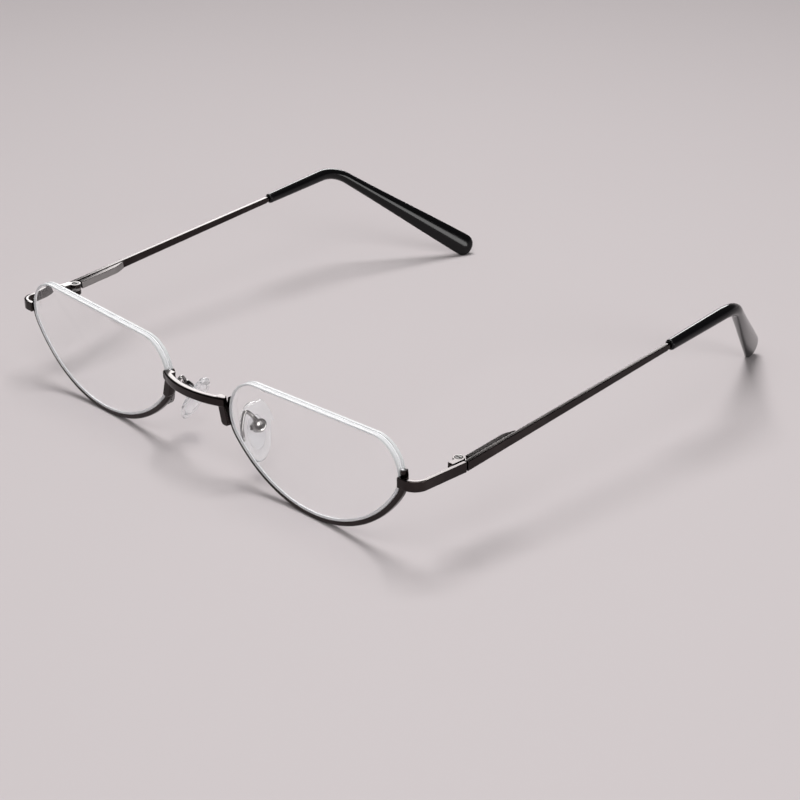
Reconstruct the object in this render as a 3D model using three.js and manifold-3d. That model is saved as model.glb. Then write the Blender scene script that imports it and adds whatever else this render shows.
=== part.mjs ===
// Half-moon reading glasses, standing open on the floor.
// Two half-moon lenses sit in grooved half rims that run along their lower edges, with a nylon thread
// round the bare upper edges. A bowed bridge joins the rims, wire arms carry the nose pads, and each
// temple hangs on a spring hinge. Millimetres, +Z up, the lenses face -Y, the wearer looks along -Y.
import * as THREE from 'three';
import { mergeVertices } from 'three/addons/utils/BufferGeometryUtils.js';
import Module from 'manifold-3d';

const wasm = await Module();
wasm.setup();

// Lenses
const LENS_ARC_RADIUS = 29.8; // the half-moon's lower edge
const LENS_HEIGHT = 23.6; // lower arc to top edge, at the middle of the arc
const FACE_FORM_DEG = 0.6; // each lens turns back towards its temple
const LENS_TOP_RISE_DEG = 2; // the top edge climbs towards the temple
const NOSE_CORNER_RADIUS = 8;
const TEMPLE_CORNER_RADIUS = 7;
const LENS_EDGE = 2.2; // thickness at the edge
const LENS_FRONT_BULGE = 1.0;
const LENS_BACK_HOLLOW = 0.5;
const LENS_CHAMFER = 0.2;
const LENS_GROOVE_WIDTH = 0.7;
const LENS_GROOVE_DEPTH = 0.6;

// Half rims, their nylon liners and the thread over the top edge
const RIM_DEPTH = 1.4; // front to back
const RIM_THICKNESS = 1.1; // across the rim, away from the lens
const RIM_GROOVE_DEPTH = 0.5;
const RIM_CHAMFER = 0.25;
const RIM_NOSE_WRAP_DEG = 14; // how far the rim climbs past the lens's widest point
const RIM_TEMPLE_WRAP_DEG = 13;
const LINER_WIDTH = 0.5;
const THREAD_DIAMETER = 0.5;
const THREAD_END_GAP_DEG = 2; // along the corner, between the thread and the liner
const LENS_SEAT_GAP = 0.1; // lens edge to rim, and liner or thread to the floor of a groove

// Bridge
const BRIDGE_TOP_Z = 18.8;
const BRIDGE_HEIGHT = 2;
const BRIDGE_DEPTH = 1.6;
const BRIDGE_BOW = 2.2; // how far the middle stands forward of the legs
const LEG_WIDTH = 2;
const LEG_LENGTH = 6.2;
const LEG_DEPTH = 1.2;
const LEG_ROUNDING = 0.6;
const LEG_LEAN_DEG = 14; // the legs spread downwards, along the rims
const SOLDER_GAP = 0.05; // between faces that are soldered together
const EDGE_CLEARANCE = 0.15; // sideways, between a lens edge and the metal in front of the rim

// Endpieces and temples
const HALF_WIDTH = 65.6; // mid-plane to the outer faces of the endpieces and temples
const ENDPIECE_REACH = 5.058; // temple edge of the lens to the outer face
const BAR_THICKNESS = 1;
const ENDPIECE_Z = 18; // height of the endpieces and of the hinges
const ENDPIECE_HEIGHT = 2.2;
const ENDPIECE_FLAT = 1.6; // straight run on the front of the rim, before the bend
const SEAM_Y = 13.2; // endpiece to temple joint, behind the rims at the mid-plane
const SEAM_GAP = 0.4;
const TEMPLE_RISE_DEG = 6.3;
const TEMPLE_FRONT_HEIGHT = 2.1;
const TEMPLE_REAR_HEIGHT = 1.4;
const TEMPLE_CHAMFER = 0.2;
const TEMPLE_BAR_LENGTH = 62; // hinge axis to the front of the black tip

// Black temple tips, and the core that the temple sends through them
const CORE_DIAMETER = 1.2;
const CORE_BLEND = 1.2; // length over which the flat bar turns into the round core
const CORE_END_COVER = 10; // solid tip left beyond the core
const CORE_CLEARANCE = 0.1;
const TIP_BEND_Y = 84.5; // hinge axis to the corner of the ear bend, along the temple
const TIP_BEND_RADIUS = 10;
const TIP_DROP_DEG = 39.6; // below the line of the temple
const TIP_INWARD_DEG = 30.3;
const TIP_FRONT_DIAMETER = 2.5;
const TIP_BEND_DIAMETER = 2.9;
const TIP_PADDLE_WIDTH = 6;
const TIP_PADDLE_THICKNESS = 2.4;
const TIP_END_ROUNDING = 2.6;
const TIP_FRONT_ROUNDING = 0.4;

// Hinges
const KNUCKLE_RADIUS = 1.25;
const KNUCKLE_HEIGHT = 0.8;
const EYE_HEIGHT = 0.8;
const KNUCKLE_GAP = 0.1;
const HINGE_CLEARANCE = 0.15; // knuckles to the bars, and the turning eye to the fork behind it
const LEAF_LENGTH = 3;
const HINGE_SCREW_DIAMETER = 0.9;
const HINGE_SCREW_HEAD_DIAMETER = 1.7;
const HINGE_SCREW_HEAD_HEIGHT = 0.4;
const SCREW_SLOT_WIDTH = 0.3;
const SCREW_SLOT_DEPTH = 0.2;
const PIN_CLEARANCE = 0.06; // round every screw and rod

// Spring housings on the inside of the temples
const HOUSING_FRONT_Y = 1.9; // behind the hinge axis
const HOUSING_LENGTH = 13.1;
const HOUSING_TAPER = 2.5;
const HOUSING_TAIL = 0.3;
const HOUSING_WIDTH = 1.35;
const HOUSING_HEIGHT = 1.7;
const CHANNEL_DIAMETER = 1.0;
const CHANNEL_LENGTH = 10.5;
const NECK_WIDTH = 0.7;
const NECK_HEIGHT = 0.5;
const NECK_LENGTH = 0.5; // reach into the channel
const ROD_DIAMETER = 0.36;
const ROD_HEAD_DIAMETER = 0.84;
const ROD_HEAD_LENGTH = 0.4;
const ROD_SPARE = 1; // channel left behind the rod head
const STOP_LENGTH = 1.2;
const STOP_GAP = 0.3; // neck to spring stop
const SPRING_WIRE = 0.14;
const SPRING_DIAMETER = 0.68; // middle of the wire
const SPRING_TURNS = 9;
const SPRING_END_GAP = 0.1;

// Nose pads
const PAD_BOX_X = 2.5; // middle of the pad box, from the lens's nose edge
const PAD_BOX_Y = 6.3; // behind the plane of the rims
const PAD_BOX_Z = 11.1;
const PAD_SPLAY_DEG = 20; // the pads open towards the face
const PAD_LEAN_DEG = 29; // and their tops lean in
const PAD_BOX_DIAMETER = 2.8;
const PAD_BOX_BACK = 0.55;
const PAD_BOX_LIP = 0.9; // screw axis to the open end of the box
const PAD_TAB_RADIUS = 0.65;
const PAD_TAB_THICKNESS = 1;
const PAD_TAB_CLEARANCE = 0.1;
const PAD_TAB_LENGTH = 1.6; // screw axis to the plate
const PAD_SCREW_DIAMETER = 0.6;
const PAD_SCREW_HEAD_DIAMETER = 1.1;
const PAD_SCREW_HEAD_HEIGHT = 0.35;
const PAD_PLATE_HEIGHT = 7;
const PAD_PLATE_WIDTH = 3.8;
const PAD_PLATE_THICKNESS = 0.5;
const PAD_HEIGHT = 12.2;
const PAD_WIDTH = 6.8;
const PAD_THICKNESS = 2.4;
const PAD_DROP = 1; // middle of the pad below its screw
const PAD_RECESS_GAP = 0.1; // plate to the recess in the back of the pad

// Nose pad arms
const ARM_DIAMETER = 0.8;
const ARM_ROOT_DEG = 225; // place of the root on the rim's lower arc
const ARM_LOOP_Z = 14.8; // top of the loop
const ARM_LOOP_FRONT_Y = 2.2;
const ARM_LOOP_BACK_Y = 5.4;
const ARM_LOOP_X = 1.3; // from the lens's nose edge
const ARM_FOOT = 1.2; // straight wire behind the rim
const ARM_SEAT_DEG = 30; // place of the end on the side of the box, from the top towards the lens
const ARM_SEAT_RUN = 1.2; // straight wire above the box

// Facets
const ROUND_SIDES = 16;
const SMALL_SIDES = 12;
const WIRE_SIDES = 8;
const THREAD_SIDES = 6;
const SPRING_SIDES = 5;
const PAD_SIDES = 20;
const NOSE_CORNER_STEPS = 5; // along the rim
const LOWER_ARC_STEPS = 20;
const TEMPLE_CORNER_STEPS = 4;
const TOP_CORNER_STEPS = 7; // along the bare top edge, at each corner
const LEG_CORNER_STEPS = 3;
const ARM_STEPS = 24;
const SPRING_TURN_STEPS = 8;
const LENS_FACE_SHARES = [0.35, 0.7]; // rings on the faces of a lens, as shares of its outline
const BEND_SHARES = [0, 0.25, 0.5, 0.75, 1]; // rings round the ear bend
const PADDLE_SHARES = [0.33, 0.67, 1]; // rings from the bend to the end of the paddle
const TIP_END_ANGLES_DEG = [30, 60, 80]; // rings on the rounded end of a tip
const PAD_CROWN_SHARES = [ // depth into the pad, size of its outline there
  [0, 0.86], [0.25, 0.98], [0.5, 1], [0.78, 0.9], [0.95, 0.66], [1, 0.4],
];
const CUT_MARGIN = 1; // how far a cutting shape stands clear of what it cuts

// Derived places
const rad = THREE.MathUtils.degToRad;
const rimInner = LENS_SEAT_GAP;
const rimOuter = LENS_SEAT_GAP + RIM_THICKNESS;
const rimFrontY = -RIM_DEPTH / 2;
const rimBackY = RIM_DEPTH / 2;
const faceForm = rad(FACE_FORM_DEG);
const topAngle = rad(90 + LENS_TOP_RISE_DEG);
const hingeX = HALF_WIDTH - BAR_THICKNESS - HINGE_CLEARANCE - KNUCKLE_RADIUS;
const barOuterX = HALF_WIDTH - hingeX;
const barInnerX = barOuterX - BAR_THICKNESS;
const barMiddleX = barOuterX - BAR_THICKNESS / 2;
const housingOuterX = barInnerX - SOLDER_GAP;
const rodX = housingOuterX - HOUSING_WIDTH / 2;
const channelEndY = HOUSING_FRONT_Y + CHANNEL_LENGTH;
const rodEndY = channelEndY - ROD_SPARE;
const neckEndY = HOUSING_FRONT_Y + NECK_LENGTH;
const stopFrontY = neckEndY + STOP_GAP;
const stopRearY = stopFrontY + STOP_LENGTH;
const forkGap = EYE_HEIGHT / 2 + KNUCKLE_GAP;
const hingeTop = forkGap + KNUCKLE_HEIGHT;
const rise = rad(TEMPLE_RISE_DEG);

// Finishes
const gunmetal = new THREE.MeshStandardMaterial({ color: 0x3a3637, roughness: 0.28, metalness: 1 });
const steel = new THREE.MeshStandardMaterial({ color: 0xb9b6b4, roughness: 0.3, metalness: 1 });
const lensPlastic = new THREE.MeshStandardMaterial({
  color: 0xf4f6f8, roughness: 0.05, metalness: 0, transparent: true, opacity: 0.25,
});
const nylon = new THREE.MeshStandardMaterial({ color: 0xe9ebee, roughness: 0.4, metalness: 0 });
const silicone = new THREE.MeshStandardMaterial({
  color: 0xeef0f4, roughness: 0.35, metalness: 0, transparent: true, opacity: 0.5,
});
const blackAcetate = new THREE.MeshStandardMaterial({ color: 0x0b0c0e, roughness: 0.2, metalness: 0 });

// Closed skin over a row of rings with the same number of points, with a flat cap on each end ring.
function loft(rings) {
  const sides = rings[0].length;
  const points = rings.flat();
  const triangles = [];
  for (let r = 0; r + 1 < rings.length; r += 1) {
    for (let k = 0; k < sides; k += 1) {
      const a = r * sides + k;
      const b = r * sides + ((k + 1) % sides);
      triangles.push([a, b, b + sides], [a, b + sides, a + sides]);
    }
  }
  capTriangles(rings[0]).forEach(([a, b, c]) => triangles.push([a, c, b]));
  const last = points.length - sides;
  capTriangles(rings.at(-1)).forEach(([a, b, c]) => triangles.push([last + a, last + b, last + c]));
  return closedGeometry(points, triangles);
}

// Triangles that close a ring, turning the way the ring turns.
function capTriangles(ring) {
  const middle = ring.reduce((sum, p) => sum.add(p), new THREE.Vector3()).divideScalar(ring.length);
  const normal = new THREE.Vector3();
  ring.forEach((p, k) => {
    const next = ring[(k + 1) % ring.length];
    normal.add(p.clone().sub(middle).cross(next.clone().sub(middle)));
  });
  const across = ring[0].clone().sub(middle).projectOnPlane(normal).normalize();
  const up = normal.clone().normalize().cross(across);
  const flat = ring.map((p) => {
    const arm = p.clone().sub(middle);
    return new THREE.Vector2(arm.dot(across), arm.dot(up));
  });
  return THREE.ShapeUtils.triangulateShape(flat, []);
}

// Indexed geometry whose faces point out, whichever way the triangles were listed.
function closedGeometry(points, triangles) {
  const volume = triangles.reduce(
    (sum, [a, b, c]) => sum + points[a].dot(points[b].clone().cross(points[c])), 0);
  const index = triangles.flatMap(([a, b, c]) => (volume < 0 ? [a, c, b] : [a, b, c]));
  const geometry = new THREE.BufferGeometry().setFromPoints(points);
  geometry.setIndex(index);
  return geometry;
}

function toSolid(geometry) {
  const bare = geometry.clone();
  bare.deleteAttribute('normal');
  bare.deleteAttribute('uv');
  const merged = mergeVertices(bare, 1e-5);
  return new wasm.Manifold(new wasm.Mesh({
    numProp: 3,
    vertProperties: new Float32Array(merged.attributes.position.array),
    triVerts: new Uint32Array(merged.index.array),
  }));
}

function toGeometry(solid) {
  const mesh = solid.getMesh();
  const geometry = new THREE.BufferGeometry();
  geometry.setAttribute('position', new THREE.BufferAttribute(mesh.vertProperties, 3));
  geometry.setIndex(new THREE.BufferAttribute(mesh.triVerts, 1));
  return geometry;
}

function join(...geometries) {
  return toGeometry(geometries.map(toSolid).reduce((whole, piece) => whole.add(piece)));
}

function cut(geometry, ...tools) {
  return toGeometry(tools.map(toSolid).reduce((rest, tool) => rest.subtract(tool), toSolid(geometry)));
}

// Block between two corners.
function block(x0, x1, y0, y1, z0, z1) {
  const geometry = new THREE.BoxGeometry(x1 - x0, y1 - y0, z1 - z0);
  return geometry.translate((x0 + x1) / 2, (y0 + y1) / 2, (z0 + z1) / 2);
}

// Cylinder standing on +Z, from z0 to z1 on the axis x = y = 0.
function post(diameter, z0, z1, sides = SMALL_SIDES) {
  const geometry = new THREE.CylinderGeometry(diameter / 2, diameter / 2, z1 - z0, sides);
  return geometry.rotateX(Math.PI / 2).translate(0, 0, (z0 + z1) / 2);
}

// Cylinder lying along +Y, from y0 to y1, round the line at x and z = 0.
function rod(diameter, x, y0, y1, sides = SMALL_SIDES) {
  const geometry = new THREE.CylinderGeometry(diameter / 2, diameter / 2, y1 - y0, sides);
  return geometry.translate(x, (y0 + y1) / 2, 0);
}

// Outline drawn in plan, raised from z0 to z1.
function raise(shape, z0, z1, curveSegments = SMALL_SIDES) {
  const geometry = new THREE.ExtrudeGeometry(shape, { depth: z1 - z0, bevelEnabled: false, curveSegments });
  return geometry.translate(0, 0, z0);
}

// Middle of a corner arc of the lens outline, from the middle of the lower arc. It touches the lower arc
// and the top edge.
function cornerOffset(radius, side) {
  const up = (LENS_HEIGHT - LENS_ARC_RADIUS) * Math.sin(topAngle) - radius;
  const along = Math.sqrt((LENS_ARC_RADIUS - radius) ** 2 - up ** 2);
  return new THREE.Vector2(
    up * Math.cos(topAngle) + side * along * Math.sin(topAngle),
    up * Math.sin(topAngle) - side * along * Math.cos(topAngle));
}

const noseOffset = cornerOffset(NOSE_CORNER_RADIUS, -1);
const templeOffset = cornerOffset(TEMPLE_CORNER_RADIUS, 1);
const lensTempleX = HALF_WIDTH - ENDPIECE_REACH;
const arcCentre = new THREE.Vector2(
  lensTempleX - TEMPLE_CORNER_RADIUS - templeOffset.x, rimOuter + LENS_ARC_RADIUS);
const noseCorner = noseOffset.clone().add(arcCentre);
const templeCorner = templeOffset.clone().add(arcCentre);
const noseJoinAngle = noseOffset.angle();
const templeJoinAngle = templeOffset.angle() - 2 * Math.PI;
const rimNoseAngle = Math.PI - rad(RIM_NOSE_WRAP_DEG);
const rimTempleAngle = rad(RIM_TEMPLE_WRAP_DEG);
const lensNoseX = noseCorner.x - NOSE_CORNER_RADIUS;

function arcLine(centre, radius, from, to, steps) {
  return Array.from({ length: steps + 1 }, (_, k) => {
    const angle = from + ((to - from) * k) / steps;
    return new THREE.Vector2(centre.x + radius * Math.cos(angle), centre.y + radius * Math.sin(angle));
  });
}

// Lens outline from the rim's nose end, under the lens, to its temple end, at a distance outside the edge.
function rimLine(offset) {
  const nose = arcLine(
    noseCorner, NOSE_CORNER_RADIUS + offset, rimNoseAngle, noseJoinAngle, NOSE_CORNER_STEPS);
  const lower = arcLine(
    arcCentre, LENS_ARC_RADIUS + offset, noseJoinAngle, templeJoinAngle + 2 * Math.PI, LOWER_ARC_STEPS);
  const temple = arcLine(
    templeCorner, TEMPLE_CORNER_RADIUS + offset, templeJoinAngle, rimTempleAngle, TEMPLE_CORNER_STEPS);
  return [...nose, ...lower.slice(1), ...temple.slice(1)];
}

// The rest of the outline, over the bare top edge, starting short of the rim's ends by an angle.
function topLine(offset, endGap) {
  const temple = arcLine(
    templeCorner, TEMPLE_CORNER_RADIUS + offset, rimTempleAngle + endGap, topAngle, TOP_CORNER_STEPS);
  const nose = arcLine(
    noseCorner, NOSE_CORNER_RADIUS + offset, topAngle, rimNoseAngle - endGap, TOP_CORNER_STEPS);
  return [...temple, ...nose];
}

// Points of the outline placed at a depth behind the plane of the rims.
function standing(line, y) {
  return line.map((p) => new THREE.Vector3(p.x, y, p.y));
}

// Bar along an outline whose section is a list of [distance outside the lens edge, depth].
function outlineBar(line, section) {
  const sectionLines = section.map(([offset, y]) => standing(line(offset), y));
  return loft(sectionLines[0].map((_, k) => sectionLines.map((points) => points[k])));
}

function lensGeometry() {
  const edge = (offset) => [...rimLine(offset), ...topLine(offset, 0).slice(1, -1)];
  const middle = new THREE.Vector2(arcCentre.x, rimOuter + LENS_HEIGHT / 2);
  const face = (share, y, height) => standing(
    edge(-LENS_CHAMFER).map((p) => p.sub(middle).multiplyScalar(share).add(middle)),
    y - height * (1 - share ** 2));
  const half = LENS_EDGE / 2;
  const groove = LENS_GROOVE_WIDTH / 2;
  return loft([
    ...LENS_FACE_SHARES.map((share) => face(share, -half, LENS_FRONT_BULGE)),
    standing(edge(-LENS_CHAMFER), -half),
    standing(edge(0), LENS_CHAMFER - half),
    standing(edge(0), -groove),
    standing(edge(-LENS_GROOVE_DEPTH), -groove),
    standing(edge(-LENS_GROOVE_DEPTH), groove),
    standing(edge(0), groove),
    standing(edge(0), half - LENS_CHAMFER),
    standing(edge(-LENS_CHAMFER), half),
    ...LENS_FACE_SHARES.toReversed().map((share) => face(share, half, LENS_BACK_HOLLOW)),
  ]);
}

function rimGeometry() {
  const groove = LENS_GROOVE_WIDTH / 2;
  return outlineBar(rimLine, [
    [rimInner, rimFrontY],
    [rimOuter - RIM_CHAMFER, rimFrontY],
    [rimOuter, rimFrontY + RIM_CHAMFER],
    [rimOuter, rimBackY - RIM_CHAMFER],
    [rimOuter - RIM_CHAMFER, rimBackY],
    [rimInner, rimBackY],
    [rimInner, groove],
    [rimInner + RIM_GROOVE_DEPTH, groove],
    [rimInner + RIM_GROOVE_DEPTH, -groove],
    [rimInner, -groove],
  ]);
}

function linerGeometry() {
  const inner = LENS_SEAT_GAP - LENS_GROOVE_DEPTH;
  const outer = rimInner + RIM_GROOVE_DEPTH - LENS_SEAT_GAP;
  const half = LINER_WIDTH / 2;
  return outlineBar(rimLine, [[inner, -half], [outer, -half], [outer, half], [inner, half]]);
}

function threadGeometry() {
  const radius = THREAD_DIAMETER / 2;
  const middle = LENS_SEAT_GAP + radius - LENS_GROOVE_DEPTH;
  const section = arcLine(new THREE.Vector2(middle, 0), radius, 0, 2 * Math.PI, THREAD_SIDES).slice(1);
  return outlineBar((offset) => topLine(offset, rad(THREAD_END_GAP_DEG)), section.map((p) => [p.x, p.y]));
}

// Depth of a face that is soldered to the front of a rim, at a distance from the mid-plane.
function solderDepth(x) {
  return rimFrontY / Math.cos(faceForm) + x * Math.tan(faceForm) - SOLDER_GAP;
}

// Bowed bar with two legs that are soldered to the fronts of the rims.
function bridgeGeometry() {
  const legLean = Math.tan(rad(LEG_LEAN_DEG));
  const legClear = (NOSE_CORNER_RADIUS + EDGE_CLEARANCE) / Math.cos(rad(LEG_LEAN_DEG));
  const legOuterX = noseCorner.x - legClear - (BRIDGE_TOP_Z - noseCorner.y) * legLean;
  const legBackY = solderDepth(lensNoseX - rimOuter);
  const radius = (legOuterX ** 2 + BRIDGE_BOW ** 2) / (2 * BRIDGE_BOW);
  const centreY = legBackY - BRIDGE_BOW + radius;
  const spread = Math.asin(legOuterX / radius);
  const bow = new THREE.Shape();
  bow.absarc(0, centreY, radius, -Math.PI / 2 - spread, -Math.PI / 2 + spread, false);
  bow.absarc(0, centreY, radius + BRIDGE_DEPTH, -Math.PI / 2 + spread, -Math.PI / 2 - spread, true);
  const bar = raise(bow, BRIDGE_TOP_Z - BRIDGE_HEIGHT, BRIDGE_TOP_Z);
  const legs = [-1, 1].map((side) => {
    const leg = new THREE.Shape();
    const low = BRIDGE_TOP_Z - LEG_LENGTH;
    leg.moveTo(LEG_WIDTH, BRIDGE_TOP_Z);
    leg.lineTo(0, BRIDGE_TOP_Z);
    leg.absarc(LEG_ROUNDING, low + LEG_ROUNDING, LEG_ROUNDING, Math.PI, 1.5 * Math.PI, false);
    leg.absarc(LEG_WIDTH - LEG_ROUNDING, low + LEG_ROUNDING, LEG_ROUNDING, 1.5 * Math.PI, 2 * Math.PI, false);
    const solid = raise(leg, 0, LEG_DEPTH, LEG_CORNER_STEPS).rotateX(Math.PI / 2);
    const lean = new THREE.Matrix4().makeShear(0, 0, 0, 0, -side * legLean, 0);
    const topX = side * (legOuterX - LEG_WIDTH / 2 + BRIDGE_TOP_Z * legLean) - LEG_WIDTH / 2;
    return solid.applyMatrix4(lean).translate(topX, legBackY, 0);
  });
  return join(bar, ...legs);
}

// Strip that leaves the rim's front, turns back and ends at the hinge seam.
function endpieceGeometry() {
  const startX = lensTempleX + EDGE_CLEARANCE;
  const backY = solderDepth(startX);
  const frontY = backY - BAR_THICKNESS;
  const endY = SEAM_Y - SEAM_GAP / 2;
  const bendX = startX + ENDPIECE_FLAT;
  const bendRadius = HALF_WIDTH - bendX;
  const bendY = frontY + bendRadius;
  const strip = new THREE.Shape();
  strip.moveTo(startX, backY);
  strip.lineTo(startX, frontY);
  strip.absarc(bendX, bendY, bendRadius, -Math.PI / 2, 0, false);
  strip.lineTo(HALF_WIDTH, endY);
  strip.lineTo(HALF_WIDTH - BAR_THICKNESS, endY);
  strip.absarc(bendX, bendY, bendRadius - BAR_THICKNESS, 0, -Math.PI / 2, true);
  return raise(strip, ENDPIECE_Z - ENDPIECE_HEIGHT / 2, ENDPIECE_Z + ENDPIECE_HEIGHT / 2);
}

// Fork of two knuckles on a leaf that is soldered to the inside of the endpiece. Hinge axis at x = y = 0.
function hingeFrontGeometry() {
  const leafX = barInnerX - SOLDER_GAP;
  const knuckle = (z0, z1) => join(
    post(2 * KNUCKLE_RADIUS, z0, z1, ROUND_SIDES),
    block(0, leafX, -LEAF_LENGTH, 0, z0, z1));
  const spine = block(0, leafX, -LEAF_LENGTH, -KNUCKLE_RADIUS - HINGE_CLEARANCE, -hingeTop, hingeTop);
  const fork = join(knuckle(-hingeTop, -forkGap), knuckle(forkGap, hingeTop), spine);
  const headSeat = hingeTop - HINGE_SCREW_HEAD_HEIGHT - PIN_CLEARANCE;
  return cut(
    fork,
    post(HINGE_SCREW_DIAMETER + 2 * PIN_CLEARANCE, -hingeTop - CUT_MARGIN, hingeTop + CUT_MARGIN),
    post(HINGE_SCREW_HEAD_DIAMETER + 2 * PIN_CLEARANCE, headSeat, hingeTop + CUT_MARGIN, ROUND_SIDES));
}

function hingeScrewGeometry() {
  const headFloor = hingeTop - HINGE_SCREW_HEAD_HEIGHT;
  const screw = join(
    post(HINGE_SCREW_DIAMETER, -hingeTop, hingeTop - HINGE_SCREW_HEAD_HEIGHT / 2),
    post(HINGE_SCREW_HEAD_DIAMETER, headFloor, hingeTop, ROUND_SIDES));
  const half = SCREW_SLOT_WIDTH / 2;
  const reach = HINGE_SCREW_HEAD_DIAMETER;
  const slotFloor = hingeTop - SCREW_SLOT_DEPTH;
  return cut(screw, block(-reach, reach, -half, half, slotFloor, hingeTop + CUT_MARGIN));
}

// Eye on the hinge screw, with a neck and a headed rod that slide in the temple's housing.
// The eye turns level, so it leans back by the temple's rise inside the temple's own frame.
function sliderGeometry() {
  const eye = post(2 * KNUCKLE_RADIUS, -EYE_HEIGHT / 2, EYE_HEIGHT / 2, ROUND_SIDES).rotateX(-rise);
  const neckX = NECK_WIDTH / 2;
  const body = join(
    eye,
    block(rodX - neckX, rodX + neckX, 0, neckEndY, -NECK_HEIGHT / 2, NECK_HEIGHT / 2),
    rod(ROD_DIAMETER, rodX, neckEndY - NECK_LENGTH, rodEndY),
    rod(ROD_HEAD_DIAMETER, rodX, rodEndY - ROD_HEAD_LENGTH, rodEndY));
  const bore = post(HINGE_SCREW_DIAMETER + 2 * PIN_CLEARANCE, -EYE_HEIGHT, EYE_HEIGHT).rotateX(-rise);
  return cut(body, bore);
}

function housingGeometry() {
  const rear = HOUSING_FRONT_Y + HOUSING_LENGTH;
  const innerX = housingOuterX - HOUSING_WIDTH;
  const plan = new THREE.Shape();
  plan.moveTo(housingOuterX, HOUSING_FRONT_Y);
  plan.lineTo(housingOuterX, rear);
  plan.lineTo(housingOuterX - HOUSING_TAIL, rear);
  plan.lineTo(innerX, rear - HOUSING_TAPER);
  plan.lineTo(innerX, HOUSING_FRONT_Y);
  const shell = raise(plan, -HOUSING_HEIGHT / 2, HOUSING_HEIGHT / 2);
  return cut(shell, rod(CHANNEL_DIAMETER, rodX, HOUSING_FRONT_Y - CUT_MARGIN, channelEndY));
}

// Ring fixed in the mouth of the housing: the spring pushes against it.
function springStopGeometry() {
  return cut(
    rod(CHANNEL_DIAMETER - 2 * PIN_CLEARANCE, rodX, stopFrontY, stopRearY),
    rod(ROD_DIAMETER + 2 * PIN_CLEARANCE, rodX, stopFrontY - CUT_MARGIN, stopRearY + CUT_MARGIN));
}

class Helix extends THREE.Curve {
  constructor(radius, x, y0, y1, turns) {
    super();
    Object.assign(this, { radius, x, y0, y1, turns });
  }

  getPoint(t, target = new THREE.Vector3()) {
    const angle = 2 * Math.PI * this.turns * t;
    return target.set(
      this.x + this.radius * Math.cos(angle),
      this.y0 + (this.y1 - this.y0) * t,
      this.radius * Math.sin(angle));
  }
}

// Round wire along a curve, with closed ends.
function wire(curve, diameter, sides, steps) {
  const section = new THREE.Shape(arcLine(new THREE.Vector2(), diameter / 2, 0, 2 * Math.PI, sides).slice(1));
  return new THREE.ExtrudeGeometry(section, { steps, extrudePath: curve, bevelEnabled: false });
}

function springGeometry() {
  const inset = SPRING_END_GAP + SPRING_WIRE / 2;
  const start = stopRearY + inset;
  const end = rodEndY - ROD_HEAD_LENGTH - inset;
  const coil = new Helix(SPRING_DIAMETER / 2, rodX, start, end, SPRING_TURNS);
  return wire(coil, SPRING_WIRE, SPRING_SIDES, SPRING_TURN_STEPS * SPRING_TURNS);
}

// Middle line of the temple from the front of the black tip to its end, in the temple's own frame:
// straight, round the ear bend, then down and inward. Each place has its direction and its distance
// from the front of the tip.
const tipDirection = new THREE.Vector3(
  -Math.cos(rad(TIP_DROP_DEG)) * Math.sin(rad(TIP_INWARD_DEG)),
  Math.cos(rad(TIP_DROP_DEG)) * Math.cos(rad(TIP_INWARD_DEG)),
  -Math.sin(rad(TIP_DROP_DEG)));
const forward = new THREE.Vector3(0, 1, 0);
const bendAngle = forward.angleTo(tipDirection);
const bendReach = TIP_BEND_RADIUS * Math.tan(bendAngle / 2);
const bendLength = TIP_BEND_RADIUS * bendAngle;
const bendStart = TIP_BEND_Y - bendReach - TEMPLE_BAR_LENGTH;
const bendAxis = forward.clone().cross(tipDirection).normalize();

function tipPlace(distance) {
  const turned = THREE.MathUtils.clamp((distance - bendStart) / TIP_BEND_RADIUS, 0, bendAngle);
  const direction = forward.clone().applyAxisAngle(bendAxis, turned);
  const point = new THREE.Vector3(barMiddleX, TEMPLE_BAR_LENGTH + Math.min(distance, bendStart), 0);
  const toCentre = bendAxis.clone().cross(forward).multiplyScalar(TIP_BEND_RADIUS);
  point.add(toCentre).sub(toCentre.clone().applyAxisAngle(bendAxis, turned));
  point.addScaledVector(direction, Math.max(distance - bendStart - bendLength, 0));
  return { point, direction };
}

// Ring round the middle line: tall across the temple's side view, thin from side to side.
function tipRing(distance, width, thickness, sides) {
  const { point, direction } = tipPlace(distance);
  const tall = new THREE.Vector3(0, -direction.z, direction.y).normalize();
  const thin = direction.clone().cross(tall);
  return Array.from({ length: sides }, (_, k) => {
    const angle = (2 * Math.PI * (k + 0.5)) / sides;
    return point.clone()
      .addScaledVector(thin, (thickness / 2) * Math.cos(angle))
      .addScaledVector(tall, (width / 2) * Math.sin(angle));
  });
}

// Distances along the tip at which rings are set: both ends of the straights, and steps round the bend.
function tipStations(end) {
  const bendEnd = bendStart + bendLength;
  const bend = BEND_SHARES.map((share) => bendStart + share * bendLength);
  const paddle = PADDLE_SHARES.map((share) => bendEnd + share * (end - bendEnd));
  return [...bend, ...paddle];
}

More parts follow.
